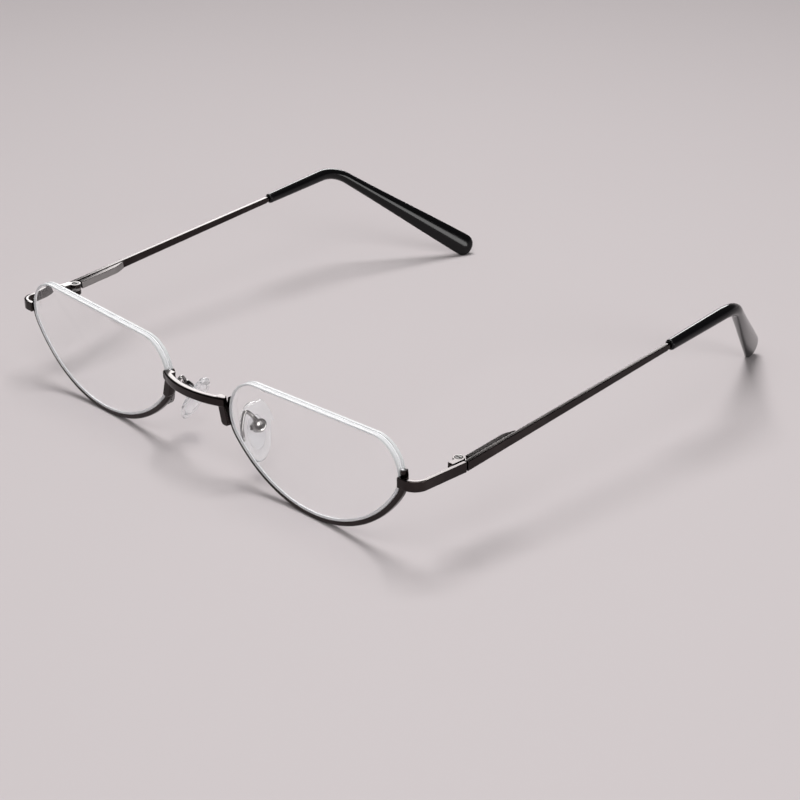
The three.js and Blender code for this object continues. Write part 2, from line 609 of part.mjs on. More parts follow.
// Outside of a tip of a given length: a round sleeve that widens past the bend into a rounded paddle.
function tipOuterRings(length) {
  const paddleStart = bendStart + bendLength;
  const fullEnd = length - TIP_END_ROUNDING;
  const front = TIP_FRONT_DIAMETER - 2 * TIP_FRONT_ROUNDING;
  const rings = [
    tipRing(0, front, front, SMALL_SIDES),
    tipRing(TIP_FRONT_ROUNDING, TIP_FRONT_DIAMETER, TIP_FRONT_DIAMETER, SMALL_SIDES),
  ];
  tipStations(fullEnd).forEach((distance) => {
    const share = THREE.MathUtils.clamp((distance - paddleStart) / (fullEnd - paddleStart), 0, 1);
    const width = THREE.MathUtils.lerp(TIP_BEND_DIAMETER, TIP_PADDLE_WIDTH, share);
    const thickness = THREE.MathUtils.lerp(TIP_BEND_DIAMETER, TIP_PADDLE_THICKNESS, share);
    rings.push(tipRing(distance, width, thickness, SMALL_SIDES));
  });
  TIP_END_ANGLES_DEG.forEach((angle) => {
    const shrink = Math.cos(rad(angle));
    const distance = fullEnd + TIP_END_ROUNDING * Math.sin(rad(angle));
    rings.push(tipRing(distance, TIP_PADDLE_WIDTH * shrink, TIP_PADDLE_THICKNESS * shrink, SMALL_SIDES));
  });
  return rings;
}

// Height above the floor of the lowest point of some rings, with the temple open.
function lowestHeight(rings) {
  const heights = rings.flat().map((p) => ENDPIECE_Z + p.y * Math.sin(rise) + p.z * Math.cos(rise));
  return Math.min(...heights);
}

// The tip is as long as it takes for its end to stand on the floor beside the rims.
const tipFall = -(tipDirection.y * Math.sin(rise) + tipDirection.z * Math.cos(rise));
const bendClear = bendStart + bendLength + TIP_END_ROUNDING + TIP_PADDLE_WIDTH;
const tipLength = bendClear + lowestHeight(tipOuterRings(bendClear)) / tipFall;
const coreEnd = tipLength - CORE_END_COVER;

function templeTipGeometry() {
  const boreDiameter = CORE_DIAMETER + 2 * CORE_CLEARANCE;
  const boreEnd = coreEnd + CORE_CLEARANCE;
  const places = [-CUT_MARGIN, ...tipStations(boreEnd)];
  const bore = places.map((distance) => tipRing(distance, boreDiameter, boreDiameter, WIRE_SIDES));
  return cut(loft(tipOuterRings(tipLength)), loft(bore));
}

// Flat bar with a plane outer face, turning into the round core of the black tip. Its front end is cut
// level with the endpiece's, so it leans inside the temple's frame.
function templeGeometry() {
  const barRing = (y, height) => {
    const top = height / 2;
    const side = top - TEMPLE_CHAMFER;
    const outer = barOuterX - TEMPLE_CHAMFER;
    const inner = barInnerX + TEMPLE_CHAMFER;
    const corners = [
      [barOuterX, -side], [barOuterX, side], [outer, top], [inner, top],
      [barInnerX, side], [barInnerX, -side], [inner, -top], [outer, -top],
    ];
    return corners.map(([x, z]) => new THREE.Vector3(x, y, z));
  };
  const root = barRing(0, TEMPLE_FRONT_HEIGHT);
  const barEnd = barRing(TEMPLE_BAR_LENGTH - CORE_BLEND, TEMPLE_REAR_HEIGHT);
  const seam = new THREE.Plane(new THREE.Vector3(0, Math.cos(rise), -Math.sin(rise)), -SEAM_GAP / 2);
  const seamEnd = root.map((p, k) => seam.intersectLine(new THREE.Line3(p, barEnd[k]), new THREE.Vector3()));
  const coreRing = (s) => {
    const ring = tipRing(s, CORE_DIAMETER, CORE_DIAMETER, WIRE_SIDES);
    return ring.map((_, k) => ring.at(k - 1));
  };
  return loft([
    seamEnd,
    barEnd,
    coreRing(-CORE_CLEARANCE),
    ...tipStations(coreEnd).map(coreRing),
  ]);
}

// The nose pad's frame: origin on its screw, +X away from the nose, +Z up the pad.
const padFrame = new THREE.Matrix4()
  .makeTranslation(lensNoseX + PAD_BOX_X, PAD_BOX_Y, PAD_BOX_Z)
  .multiply(new THREE.Matrix4().makeRotationZ(-rad(PAD_SPLAY_DEG)))
  .multiply(new THREE.Matrix4().makeRotationY(-rad(PAD_LEAN_DEG)));
const padBoxBackX = PAD_TAB_RADIUS + PAD_TAB_CLEARANCE + PAD_BOX_BACK;
const padTabHalf = PAD_TAB_THICKNESS / 2;

// Round cup with a slot for the pad's tab, crossed by the screw.
function padBoxGeometry() {
  const radius = PAD_BOX_DIAMETER / 2;
  const slotHalf = padTabHalf + PAD_TAB_CLEARANCE;
  const cup = post(PAD_BOX_DIAMETER, -PAD_BOX_LIP, padBoxBackX, ROUND_SIDES).rotateY(Math.PI / 2);
  const reach = radius + CUT_MARGIN;
  const slotFloor = PAD_TAB_RADIUS + PAD_TAB_CLEARANCE;
  return cut(
    cup,
    block(-PAD_BOX_LIP - CUT_MARGIN, slotFloor, -slotHalf, slotHalf, -reach, reach),
    rod(PAD_SCREW_DIAMETER + 2 * PIN_CLEARANCE, 0, -reach, reach));
}

function padScrewGeometry() {
  const seat = PAD_BOX_DIAMETER / 2 + PIN_CLEARANCE;
  const head = seat + PAD_SCREW_HEAD_HEIGHT;
  const screw = join(
    rod(PAD_SCREW_DIAMETER, 0, -seat - PAD_SCREW_HEAD_HEIGHT / 2, PAD_BOX_DIAMETER / 2),
    rod(PAD_SCREW_HEAD_DIAMETER, 0, -head, -seat));
  const half = SCREW_SLOT_WIDTH / 2;
  const reach = PAD_SCREW_HEAD_DIAMETER;
  return cut(screw, block(-reach, reach, -head - CUT_MARGIN, SCREW_SLOT_DEPTH - head, -half, half));
}

// Oval ring of a pad at a distance from the screw, round the pad's own middle.
function padRing(x, width, height, sides) {
  return Array.from({ length: sides }, (_, k) => {
    const angle = (2 * Math.PI * (k + 0.5)) / sides;
    return new THREE.Vector3(x, (width / 2) * Math.cos(angle), (height / 2) * Math.sin(angle) - PAD_DROP);
  });
}

// Stiff plate inside the back of the pad, with the tab that the screw holds.
function padInsertGeometry() {
  const plateX = -PAD_TAB_LENGTH - PAD_PLATE_THICKNESS;
  const plate = loft([-PAD_TAB_LENGTH, plateX].map(
    (x) => padRing(x, PAD_PLATE_WIDTH, PAD_PLATE_HEIGHT, ROUND_SIDES)));
  const overlap = -PAD_TAB_LENGTH - PAD_PLATE_THICKNESS / 2;
  const tab = block(overlap, 0, -padTabHalf, padTabHalf, -PAD_TAB_RADIUS, PAD_TAB_RADIUS);
  const tabEnd = rod(2 * PAD_TAB_RADIUS, 0, -padTabHalf, padTabHalf, ROUND_SIDES);
  const hole = rod(PAD_SCREW_DIAMETER + 2 * PIN_CLEARANCE, 0, -PAD_TAB_THICKNESS, PAD_TAB_THICKNESS);
  return cut(join(plate, tab, tabEnd), hole);
}

// Soft crowned pad with a recess for the plate in its back.
function nosePadGeometry() {
  const back = -PAD_TAB_LENGTH;
  const body = loft(PAD_CROWN_SHARES.map(([depth, size]) => padRing(
    back - depth * PAD_THICKNESS, PAD_WIDTH * size, PAD_HEIGHT * size, PAD_SIDES)));
  const recessEnd = back - PAD_PLATE_THICKNESS - PAD_RECESS_GAP;
  const recess = loft([back + CUT_MARGIN, recessEnd].map((x) => padRing(
    x, PAD_PLATE_WIDTH + 2 * PAD_RECESS_GAP, PAD_PLATE_HEIGHT + 2 * PAD_RECESS_GAP, ROUND_SIDES)));
  return cut(body, recess);
}

// Wire from the back of the rim, up over a loop and down to the side of the pad box.
function padArmGeometry() {
  const rimMiddle = LENS_ARC_RADIUS + (rimInner + rimOuter) / 2;
  const rootX = arcCentre.x + rimMiddle * Math.cos(rad(ARM_ROOT_DEG));
  const rootZ = arcCentre.y + rimMiddle * Math.sin(rad(ARM_ROOT_DEG));
  const loopX = lensNoseX + ARM_LOOP_X;
  const seatX = padBoxBackX - PAD_BOX_BACK / 2;
  const seat = (run) => {
    const away = PAD_BOX_DIAMETER / 2 + SOLDER_GAP + run;
    const seatY = -away * Math.sin(rad(ARM_SEAT_DEG));
    const seatZ = away * Math.cos(rad(ARM_SEAT_DEG));
    return new THREE.Vector3(seatX, seatY, seatZ).applyMatrix4(padFrame);
  };
  const curve = new THREE.CatmullRomCurve3([
    new THREE.Vector3(rootX, rimBackY + SOLDER_GAP, rootZ),
    new THREE.Vector3(rootX, rimBackY + ARM_FOOT, rootZ),
    new THREE.Vector3((rootX + loopX) / 2, ARM_LOOP_FRONT_Y, (rootZ + ARM_LOOP_Z) / 2),
    new THREE.Vector3(loopX, (ARM_LOOP_FRONT_Y + ARM_LOOP_BACK_Y) / 2, ARM_LOOP_Z),
    seat(ARM_SEAT_RUN),
    seat(0),
  ], false, 'centripetal');
  return wire(curve, ARM_DIAMETER, WIRE_SIDES, ARM_STEPS);
}

// Assembly. Each piece is made once, on the +X side, and the -X side is its mirror image.
const frontPieces = [
  ['lens', lensGeometry(), lensPlastic],
  ['rim', rimGeometry(), gunmetal],
  ['rim_liner', linerGeometry(), nylon],
  ['lens_thread', threadGeometry(), nylon],
  ['pad_arm', padArmGeometry(), steel],
];
const endPieces = [
  ['endpiece', endpieceGeometry(), gunmetal],
];
const hingePieces = [
  ['hinge_fork', hingeFrontGeometry(), gunmetal],
  ['hinge_screw', hingeScrewGeometry(), steel],
];
const templePieces = [
  ['temple', templeGeometry(), gunmetal],
  ['temple_tip', templeTipGeometry(), blackAcetate],
  ['hinge_housing', housingGeometry(), gunmetal],
  ['hinge_slider', sliderGeometry(), steel],
  ['hinge_spring', springGeometry(), steel],
  ['spring_stop', springStopGeometry(), steel],
];
const padPieces = [
  ['pad_box', padBoxGeometry(), steel],
  ['pad_screw', padScrewGeometry(), steel],
  ['pad_insert', padInsertGeometry(), nylon],
  ['nose_pad', nosePadGeometry(), silicone],
];

function addPieces(parent, pieces, side) {
  pieces.forEach(([name, geometry, material]) => {
    const mesh = new THREE.Mesh(geometry, material);
    mesh.name = `${name}_${side}`;
    parent.add(mesh);
  });
}

const glasses = new THREE.Group();
const bridge = new THREE.Mesh(bridgeGeometry(), gunmetal);
bridge.name = 'bridge';
glasses.add(bridge);

[['right', 1], ['left', -1]].forEach(([side, sign]) => {
  const half = new THREE.Group();
  half.scale.x = sign;
  glasses.add(half);
  addPieces(half, endPieces, side);

  const front = new THREE.Group();
  front.rotation.z = faceForm;
  half.add(front);
  addPieces(front, frontPieces, side);

  const hinge = new THREE.Group();
  hinge.position.set(hingeX, SEAM_Y, ENDPIECE_Z);
  half.add(hinge);
  addPieces(hinge, hingePieces, side);

  const temple = new THREE.Group();
  temple.rotation.x = rise;
  hinge.add(temple);
  addPieces(temple, templePieces, side);

  const pad = new THREE.Group();
  padFrame.decompose(pad.position, pad.quaternion, pad.scale);
  front.add(pad);
  addPieces(pad, padPieces, side);
});

// The origin is the middle of the footprint, on the floor.
const bounds = new THREE.Box3().setFromObject(glasses, true);
glasses.position.y = -(bounds.min.y + bounds.max.y) / 2;
glasses.position.z = -bounds.min.z;

const group = new THREE.Group();
group.add(glasses);

export default group;
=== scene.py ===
"""Half-moon reading glasses: pieces, finishes and a plain studio stage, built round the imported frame."""
import math
from types import SimpleNamespace

import bmesh
import bpy
from bpy.props import FloatProperty, FloatVectorProperty, PointerProperty
from mathutils import Matrix, Vector
from mathutils.geometry import interpolate_bezier


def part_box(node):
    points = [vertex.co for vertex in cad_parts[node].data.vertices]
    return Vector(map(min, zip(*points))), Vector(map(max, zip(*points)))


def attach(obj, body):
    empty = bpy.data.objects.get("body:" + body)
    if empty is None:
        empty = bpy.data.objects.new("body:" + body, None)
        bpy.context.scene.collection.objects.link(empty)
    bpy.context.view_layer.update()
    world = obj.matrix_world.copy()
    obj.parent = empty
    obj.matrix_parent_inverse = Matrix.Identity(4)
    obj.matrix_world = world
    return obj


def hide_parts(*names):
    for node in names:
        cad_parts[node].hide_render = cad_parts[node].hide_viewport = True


bl_info = {
    "name": "Half-moon reading glasses",
    "version": (1, 0, 0),
    "blender": (4, 5, 0),
    "location": "View3D > Sidebar > Glasses",
    "description": "Builds the pieces, finishes and stage of a pair of half-moon reading glasses",
    "category": "Add Mesh",
}

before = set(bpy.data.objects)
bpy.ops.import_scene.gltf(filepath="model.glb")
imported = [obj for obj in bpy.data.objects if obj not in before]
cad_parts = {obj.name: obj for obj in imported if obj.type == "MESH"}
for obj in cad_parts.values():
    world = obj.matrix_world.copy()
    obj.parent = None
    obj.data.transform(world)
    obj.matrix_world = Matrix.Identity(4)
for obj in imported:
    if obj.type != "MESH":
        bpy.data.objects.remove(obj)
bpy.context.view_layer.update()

MM = 0.001
SIDES = ("right", "left")
TURN_AXIS = Vector((0, -1, 0))
UP = Vector((0, 0, 1))
FULL_TURN = 2 * math.pi
ALONG_Z = Matrix.Identity(4)
ALONG_Y = Matrix.Rotation(-math.pi / 2, 4, "X")
SHARP_ANGLE = math.radians(38)
SQUARE_ANGLE = math.radians(69)

# Small roundings and fillets, in millimetres
KNUCKLE_EDGE = 0.14
EYE_EDGE = 0.12
NECK_EDGE = 0.08
ROD_OVERLAP = 0.05
HOUSING_CORNER = 0.8
HOUSING_EDGE = 0.2
FILLET_LENGTH = 0.7
RECESS_FILLET = 0.15
RECESS_MOUTH = 0.1
PLATE_EDGE = 0.12

# How many times wider a solder fillet makes the wire
FILLET_FLARE = 1.45

# Rounded ends of the pad box, in millimetres: inwards from its side, and back from its end
BOX_LIP = ((0.25, 0.0), (0.07, 0.07), (0.0, 0.25))
BOX_BACK = ((0.0, 0.3), (0.08, 0.08), (0.22, 0.0), (0.42, 0.0), (0.52, 0.08), (0.62, 0.14))

# Crown of a nose pad: shares of its thickness, and of its width and height there
PAD_CROWN = (
    (0.0, 0.8), (0.02, 0.84), (0.08, 0.885), (0.16, 0.93), (0.27, 0.97), (0.4, 0.995), (0.5, 1.0),
    (0.6, 0.985), (0.7, 0.945), (0.78, 0.89), (0.85, 0.815), (0.91, 0.71), (0.96, 0.56),
    (0.985, 0.38), (1.0, 0.12))

# Floor, lamps and the point that the camera looks at, in metres from the middle of the footprint
FLOOR_RADIUS = 3.0
OVERHEAD_LAMP_PLACE = (-0.14, 0.1)
BACK_LAMP_PLACE = (-0.6, 0.58, 0.39)
SIDE_LAMP_PLACE = (0.86, 0.12, 0.18)
FILL_LAMP_PLACE = (0.26, -0.34, 0.46)
LOOKED_AT = (0.004986, -0.009905, -0.001354)

# Tints of the light, and of what clear pieces let through
LAMP_TINT = (1.0, 0.99, 0.985)
DOME_TINT = (1.0, 0.985, 0.98, 1.0)
CLEAR_TINT = (0.975, 0.975, 0.98, 1.0)


# Settings that a user would change

def length(name, millimetres, description):
    """Length property, given in millimetres and kept in metres."""
    return FloatProperty(
        name=name, description=description, default=millimetres * MM, min=0.0,
        precision=5, subtype="DISTANCE", unit="LENGTH")


def angle(name, degrees, description):
    """Angle property, given in degrees and kept in radians."""
    return FloatProperty(
        name=name, description=description, default=math.radians(degrees), subtype="ANGLE", unit="ROTATION")


def amount(name, value, description):
    """Plain number property."""
    return FloatProperty(name=name, description=description, default=value, min=0.0)


def colour(name, red, green, blue, description):
    """Colour property, in linear light."""
    return FloatVectorProperty(
        name=name, description=description, default=(red, green, blue, 1.0), size=4,
        min=0.0, max=1.0, subtype="COLOR")


class GlassesLensSizes(bpy.types.PropertyGroup):
    """Sizes of the half-moon lenses and of the thread over their top edges"""

    arc_radius: length("Lower arc", 29.8, "Radius of the lower edge")
    height: length("Height", 23.6, "Lower arc to top edge")
    nose_radius: length("Nose corner", 8.0, "Radius of the corner beside the nose")
    temple_radius: length("Temple corner", 7.0, "Radius of the corner beside the temple")
    top_rise: angle("Top rise", 2.0, "Climb of the top edge towards the temple")
    edge: length("Edge", 2.2, "Thickness at the edge")
    bulge: length("Front bulge", 1.0, "Height of the front face over its edge")
    hollow: length("Back hollow", 0.5, "Height of the back face over its edge")
    chamfer: length("Chamfer", 0.2, "Bevel round both faces")
    groove_width: length("Groove width", 0.7, "Width of the groove round the edge")
    groove_depth: length("Groove depth", 0.6, "Depth of the groove round the edge")
    thread: length("Thread", 0.5, "Diameter of the nylon thread")
    thread_gap: angle("Thread gap", 2.0, "Between the thread and the rim, round the corner")
    seat_gap: length("Seat gap", 0.1, "Lens edge to rim, and thread to the floor of the groove")


class GlassesFrontSizes(bpy.types.PropertyGroup):
    """Sizes of the rims, the bridge and the endpieces"""

    half_width: length("Half width", 65.6, "Mid-plane to the outer faces of the temples")
    reach: length("Endpiece reach", 5.058, "Temple edge of the lens to the outer face")
    face_form: angle("Face form", 0.6, "Each lens turns back towards its temple")
    rim_depth: length("Rim depth", 1.4, "Front to back")
    rim_thickness: length("Rim thickness", 1.1, "Across the rim")
    rim_groove: length("Rim groove", 0.5, "Depth of the groove in the rim")
    rim_rounding: length("Rim rounding", 0.38, "Radius of the rim's outer edges")
    rim_lip: length("Rim lip", 0.1, "Radius of the rim's inner edges")
    nose_wrap: angle("Nose wrap", 14.0, "How far the rim climbs past the nose edge")
    temple_wrap: angle("Temple wrap", 13.0, "How far the rim climbs past the temple edge")
    bridge_top: length("Bridge top", 18.8, "Height of the bridge over the floor")
    bridge_height: length("Bridge height", 2.0, "Height of the bowed bar")
    bridge_depth: length("Bridge depth", 1.6, "Depth of the bowed bar")
    bar_rounding: length("Bar rounding", 0.42, "Radius of the edges of the bowed bar")
    bow: length("Bow", 2.2, "How far the middle stands forward of the legs")
    leg_width: length("Leg width", 2.0, "Width of a leg of the bridge")
    leg_length: length("Leg length", 6.2, "Top of the bridge to the end of a leg")
    leg_depth: length("Leg depth", 1.2, "Front to back")
    leg_rounding: length("Leg rounding", 0.6, "Radius at the end of a leg")
    leg_lean: angle("Leg lean", 14.0, "The legs spread downwards, along the rims")
    metal_rounding: length("Edge rounding", 0.15, "Radius of the edges of the metal bars")
    solder_gap: length("Solder gap", 0.05, "Between faces that are soldered together")
    clearance: length("Edge clearance", 0.15, "Lens edge to the metal in front of the rim")
    endpiece_height: length("Endpiece height", 2.2, "Height of the strip")
    endpiece_flat: length("Endpiece flat", 1.6, "Straight run on the front of the rim")
    seam: length("Seam", 13.2, "Plane of the rims to the hinge seam")
    seam_gap: length("Seam gap", 0.4, "Endpiece to temple")


class GlassesTempleSizes(bpy.types.PropertyGroup):
    """Sizes of the temples and of their black tips"""

    thickness: length("Bar thickness", 1.0, "Side to side")
    front_height: length("Front height", 2.1, "Height of the bar at the hinge")
    rear_height: length("Rear height", 1.4, "Height of the bar at the black tip")
    bar_length: length("Bar length", 62.0, "Hinge to the front of the black tip")
    rise: angle("Rise", 6.3, "Climb of the temple towards the ear")
    core: length("Core", 1.2, "Diameter of the core inside the tip")
    core_blend: length("Core blend", 1.2, "Length over which the bar turns into the core")
    core_clearance: length("Core clearance", 0.1, "Core to the bore of the tip")
    bend_place: length("Ear bend", 84.5, "Hinge to the corner of the ear bend")
    bend_radius: length("Bend radius", 10.0, "Radius of the ear bend")
    drop: angle("Drop", 39.6, "Slope of the tip below the line of the temple")
    inward: angle("Inward", 30.3, "Turn of the tip towards the head")
    tip_length: length("Tip length", 68.2, "Front of the black tip to its end")
    tip_cover: length("Tip cover", 10.0, "Solid tip beyond the core")
    tip_front: length("Tip front", 2.48, "Diameter at the front of the tip")
    tip_bend: length("Tip bend", 2.85, "Diameter at the ear bend")
    paddle_width: length("Paddle width", 5.85, "Width at the end of the tip")
    paddle_thickness: length("Paddle thickness", 2.35, "Thickness at the end of the tip")
    end_rounding: length("End rounding", 2.6, "Length of the rounded end")
    front_rounding: length("Front rounding", 0.45, "Radius at the front of the tip")


class GlassesHingeSizes(bpy.types.PropertyGroup):
    """Sizes of the hinges and of their spring housings"""

    knuckle_radius: length("Knuckle radius", 1.25, "Radius of the knuckles and of the eye")
    knuckle_height: length("Knuckle height", 0.8, "Height of each knuckle")
    eye_height: length("Eye height", 0.8, "Height of the eye between the knuckles")
    knuckle_gap: length("Knuckle gap", 0.1, "Between the eye and a knuckle")
    clearance: length("Hinge clearance", 0.15, "Knuckles to the bars")
    leaf: length("Leaf length", 3.0, "Hinge axis to the front of the leaf")
    screw: length("Screw", 0.9, "Diameter of the hinge screw")
    screw_head: length("Screw head", 1.7, "Diameter of the screw head")
    head_height: length("Head height", 0.4, "Height of the screw head")
    slot_width: length("Slot width", 0.3, "Width of the slots in the screws")
    slot_depth: length("Slot depth", 0.2, "Depth of the slots in the screws")
    pin_gap: length("Pin clearance", 0.06, "Round every screw and rod")
    housing_start: length("Housing start", 1.9, "Hinge axis to the housing")
    housing_length: length("Housing length", 13.1, "Length of the spring housing")
    housing_width: length("Housing width", 1.35, "Width of the spring housing")
    housing_height: length("Housing height", 1.7, "Height of the spring housing")
    housing_taper: length("Housing taper", 2.5, "Length of the slanted rear end")
    housing_tail: length("Housing tail", 0.3, "Width left at the rear end")
    channel: length("Channel", 1.0, "Diameter of the spring channel")
    channel_length: length("Channel length", 10.5, "Length of the spring channel")
    neck_width: length("Neck width", 0.7, "Width of the slider's neck")
    neck_height: length("Neck height", 0.5, "Height of the slider's neck")
    neck_reach: length("Neck reach", 0.5, "Reach of the neck into the channel")
    rod: length("Rod", 0.36, "Diameter of the slider's rod")
    rod_head: length("Rod head", 0.84, "Diameter of the rod's head")
    rod_head_length: length("Rod head length", 0.4, "Length of the rod's head")
    rod_spare: length("Rod spare", 1.0, "Channel left behind the rod's head")


class GlassesPadSizes(bpy.types.PropertyGroup):
    """Sizes of the nose pads, their boxes and their arms"""

    box_x: length("Box x", 2.5, "Pad box from the lens's nose edge")
    box_y: length("Box y", 6.3, "Pad box behind the plane of the rims")
    box_z: length("Box z", 11.1, "Pad box over the floor")
    splay: angle("Splay", 20.0, "The pads open towards the face")
    lean: angle("Lean", 29.0, "The tops of the pads lean in")
    box: length("Box", 2.8, "Diameter of the pad box")
    box_back: length("Box back", 0.55, "Thickness of the back of the box")
    box_lip: length("Box lip", 0.9, "Screw to the open end of the box")
    tab_radius: length("Tab radius", 0.65, "Radius of the tab round the screw")
    tab_thickness: length("Tab thickness", 1.0, "Thickness of the tab")
    tab_gap: length("Tab clearance", 0.1, "Tab to box")
    tab_length: length("Tab length", 1.6, "Screw to the back of the pad")
    screw: length("Screw", 0.6, "Diameter of the pad screw")
    screw_head: length("Screw head", 1.1, "Diameter of its head")
    head_height: length("Head height", 0.35, "Height of its head")
    plate_height: length("Plate height", 7.0, "Height of the stiff plate in the pad")
    plate_width: length("Plate width", 3.8, "Width of the stiff plate")
    plate: length("Plate", 0.5, "Thickness of the stiff plate")
    height: length("Pad height", 12.1, "Height of the pad")
    width: length("Pad width", 6.7, "Width of the pad")
    thickness: length("Pad thickness", 2.4, "Thickness of the pad")
    pad_drop: length("Pad drop", 1.0, "Middle of the pad below its screw")
    recess_gap: length("Recess clearance", 0.1, "Plate to the recess in the pad")
    wire: length("Arm wire", 0.8, "Diameter of the pad arm")
    root_angle: angle("Arm root", 225.0, "Place of the root on the rim's lower arc")
    foot: length("Arm foot", 1.2, "Straight wire behind the rim")
    loop_x: length("Loop x", 1.3, "Loop from the lens's nose edge")
    loop_front: length("Loop front", 2.2, "Front of the loop")
    loop_back: length("Loop back", 5.4, "Back of the loop")
    loop_z: length("Loop z", 14.8, "Top of the loop")
    seat_angle: angle("Seat angle", 30.0, "Place of the arm's end on the box, from the top towards the lens")
    seat_run: length("Seat run", 1.2, "Straight wire above the box")


class GlassesFinishes(bpy.types.PropertyGroup):
    """Colours of the finishes"""

    gunmetal: colour("Gunmetal", 0.03, 0.0246, 0.024, "Dark plating of the metal pieces")
    gunmetal_worn: colour("Worn gunmetal", 0.05, 0.0425, 0.041, "Plating where it is polished by handling")
    screw: colour("Screws", 0.11, 0.106, 0.104, "Dull steel of the screws")
    steel: colour(
        "Steel", 0.3, 0.292, 0.288, "Sliders, springs, pad arms, pad boxes and inner faces of the housings")
    lens: colour("Lens", 0.995, 1.0, 1.0, "Clear lens plastic")
    lens_edge: colour("Lens edge", 0.86, 0.875, 0.89, "Ground edge of the lenses")
    nylon: colour("Nylon", 0.88, 0.895, 0.91, "Threads and liners")
    silicone: colour("Silicone", 0.975, 0.985, 0.995, "Nose pads and the plates in them")
    acetate: colour("Black tips", 0.0015, 0.0015, 0.0018, "Black temple tips")


class GlassesStageSettings(bpy.types.PropertyGroup):
    """The floor, the light and the camera"""

    floor: colour("Floor", 0.62, 0.575, 0.585, "Colour of the floor")
    backdrop: colour("Backdrop", 0.6, 0.555, 0.565, "Colour beyond the floor")
    ceiling: colour("Ceiling", 0.1, 0.095, 0.095, "Colour overhead, which only shows in gloss and glass")
    dome: amount("Dome light", 0.125, "Level of the light from all round")
    lamp: amount("Lamp", 5.1, "Power of the overhead lamp, in watts")
    lamp_size: length("Lamp size", 400.0, "Side of the overhead lamp")
    lamp_height: length("Lamp height", 800.0, "Overhead lamp over the floor")
    back_lamp: amount("Back lamp", 5.6, "Power of the lamp behind, in watts")
    back_lamp_width: length("Back lamp width", 550.0, "Width of the lamp behind")
    back_lamp_depth: length("Back lamp height", 340.0, "Height of the lamp behind")
    side_lamp: amount("Side lamp", 2.8, "Power of the low lamp beside the right temple, in watts")
    side_lamp_size: length("Side lamp size", 380.0, "Side of the low lamp beside the right temple")
    fill_lamp: amount("Fill lamp", 0.9, "Power of the lamp beside the camera, in watts")
    fill_lamp_size: length("Fill lamp size", 300.0, "Side of the lamp beside the camera")
    azimuth: angle("Camera azimuth", 45.92, "Round from the front, towards the right temple")
    elevation: angle("Camera elevation", 25.14, "Above the floor")
    distance: length("Camera distance", 450.0, "Camera to the point it looks at")
    focal: amount("Focal length", 87.8, "In millimetres, on a 36 mm sensor")


class GlassesSettings(bpy.types.PropertyGroup):
    """Everything that a user can change on the glasses"""

    lens: PointerProperty(type=GlassesLensSizes)
    front: PointerProperty(type=GlassesFrontSizes)
    temple: PointerProperty(type=GlassesTempleSizes)
    hinge: PointerProperty(type=GlassesHingeSizes)
    pad: PointerProperty(type=GlassesPadSizes)
    finish: PointerProperty(type=GlassesFinishes)
    stage: PointerProperty(type=GlassesStageSettings)


def sizes(context, group):
    """A group's settings, with lengths in millimetres and angles in radians."""
    settings = getattr(context.scene.reading_glasses, group)
    values = {}
    for key in type(settings).__annotations__:
        value = getattr(settings, key)
        in_metres = settings.bl_rna.properties[key].unit == "LENGTH"
        values[key] = value / MM if in_metres else value
    return SimpleNamespace(**values)


# Places, in millimetres until a piece is finished

def hinge_place():
    """Middle of the right hinge screw in the frame, in millimetres."""
    low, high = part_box("hinge_screw_right")
    return (low + high) / 2 / MM


def glasses_matrix(context):
    """Frame of the bridge and endpieces: the plane of the rims at the mid-plane."""
    return Matrix.Translation((0, hinge_place().y - sizes(context, "front").seam, 0))


def front_matrix(context):
    """Frame of the right lens and rim."""
    return glasses_matrix(context) @ Matrix.Rotation(sizes(context, "front").face_form, 4, "Z")


def hinge_matrix():
    """Frame of the right hinge."""
    return Matrix.Translation(hinge_place())


def temple_matrix(context):
    """Frame of the right temple: origin on the hinge axis, +Y along the bar."""
    return hinge_matrix() @ Matrix.Rotation(sizes(context, "temple").rise, 4, "X")


def pad_matrix(context):
    """Frame of the right nose pad inside the front's frame: origin on its screw, +X away from the nose."""
    pad = sizes(context, "pad")
    place = Matrix.Translation((half_moon(context).nose_x + pad.box_x, pad.box_y, pad.box_z))
    return place @ Matrix.Rotation(-pad.splay, 4, "Z") @ Matrix.Rotation(-pad.lean, 4, "Y")


def half_moon(context):
    """Corners and joins of the half-moon outline of the right lens."""
    lens = sizes(context, "lens")
    front = sizes(context, "front")
    top = math.pi / 2 + lens.top_rise
    rim_outer = lens.seat_gap + front.rim_thickness

    def corner(radius, side):
        up = (lens.height - lens.arc_radius) * math.sin(top) - radius
        along = side * math.sqrt((lens.arc_radius - radius) ** 2 - up ** 2)
        return Vector((
            up * math.cos(top) + along * math.sin(top), 0, up * math.sin(top) - along * math.cos(top)))

    nose = corner(lens.nose_radius, -1)
    temple = corner(lens.temple_radius, 1)
    temple_x = front.half_width - front.reach
    arc = Vector((temple_x - lens.temple_radius - temple.x, 0, rim_outer + lens.arc_radius))
    return SimpleNamespace(
        arc=arc, nose=arc + nose, temple=arc + temple, top=top, rim_outer=rim_outer,
        nose_join=math.atan2(nose.z, nose.x) % FULL_TURN,
        temple_join=math.atan2(temple.z, temple.x),
        rim_nose=math.pi - front.nose_wrap, rim_temple=front.temple_wrap,
        nose_x=(arc + nose).x - lens.nose_radius, temple_x=temple_x,
        nose_radius=lens.nose_radius, temple_radius=lens.temple_radius)


def solder_depth(front, x):
    """Depth of a face that is soldered to the front of a rim, at a distance from the mid-plane."""
    face = -front.rim_depth / 2 / math.cos(front.face_form)
    return face + x * math.tan(front.face_form) - front.solder_gap


def bar_sides(context):
    """Outer and inner face of the temple bar, from the hinge axis."""
    front = sizes(context, "front")
    temple = sizes(context, "temple")
    outer = front.half_width - hinge_place().x
    return outer, outer - temple.thickness


# Mesh tools

def everything(bm):
    """All the vertices, edges and faces of a mesh."""
    return bm.verts[:] + bm.edges[:] + bm.faces[:]


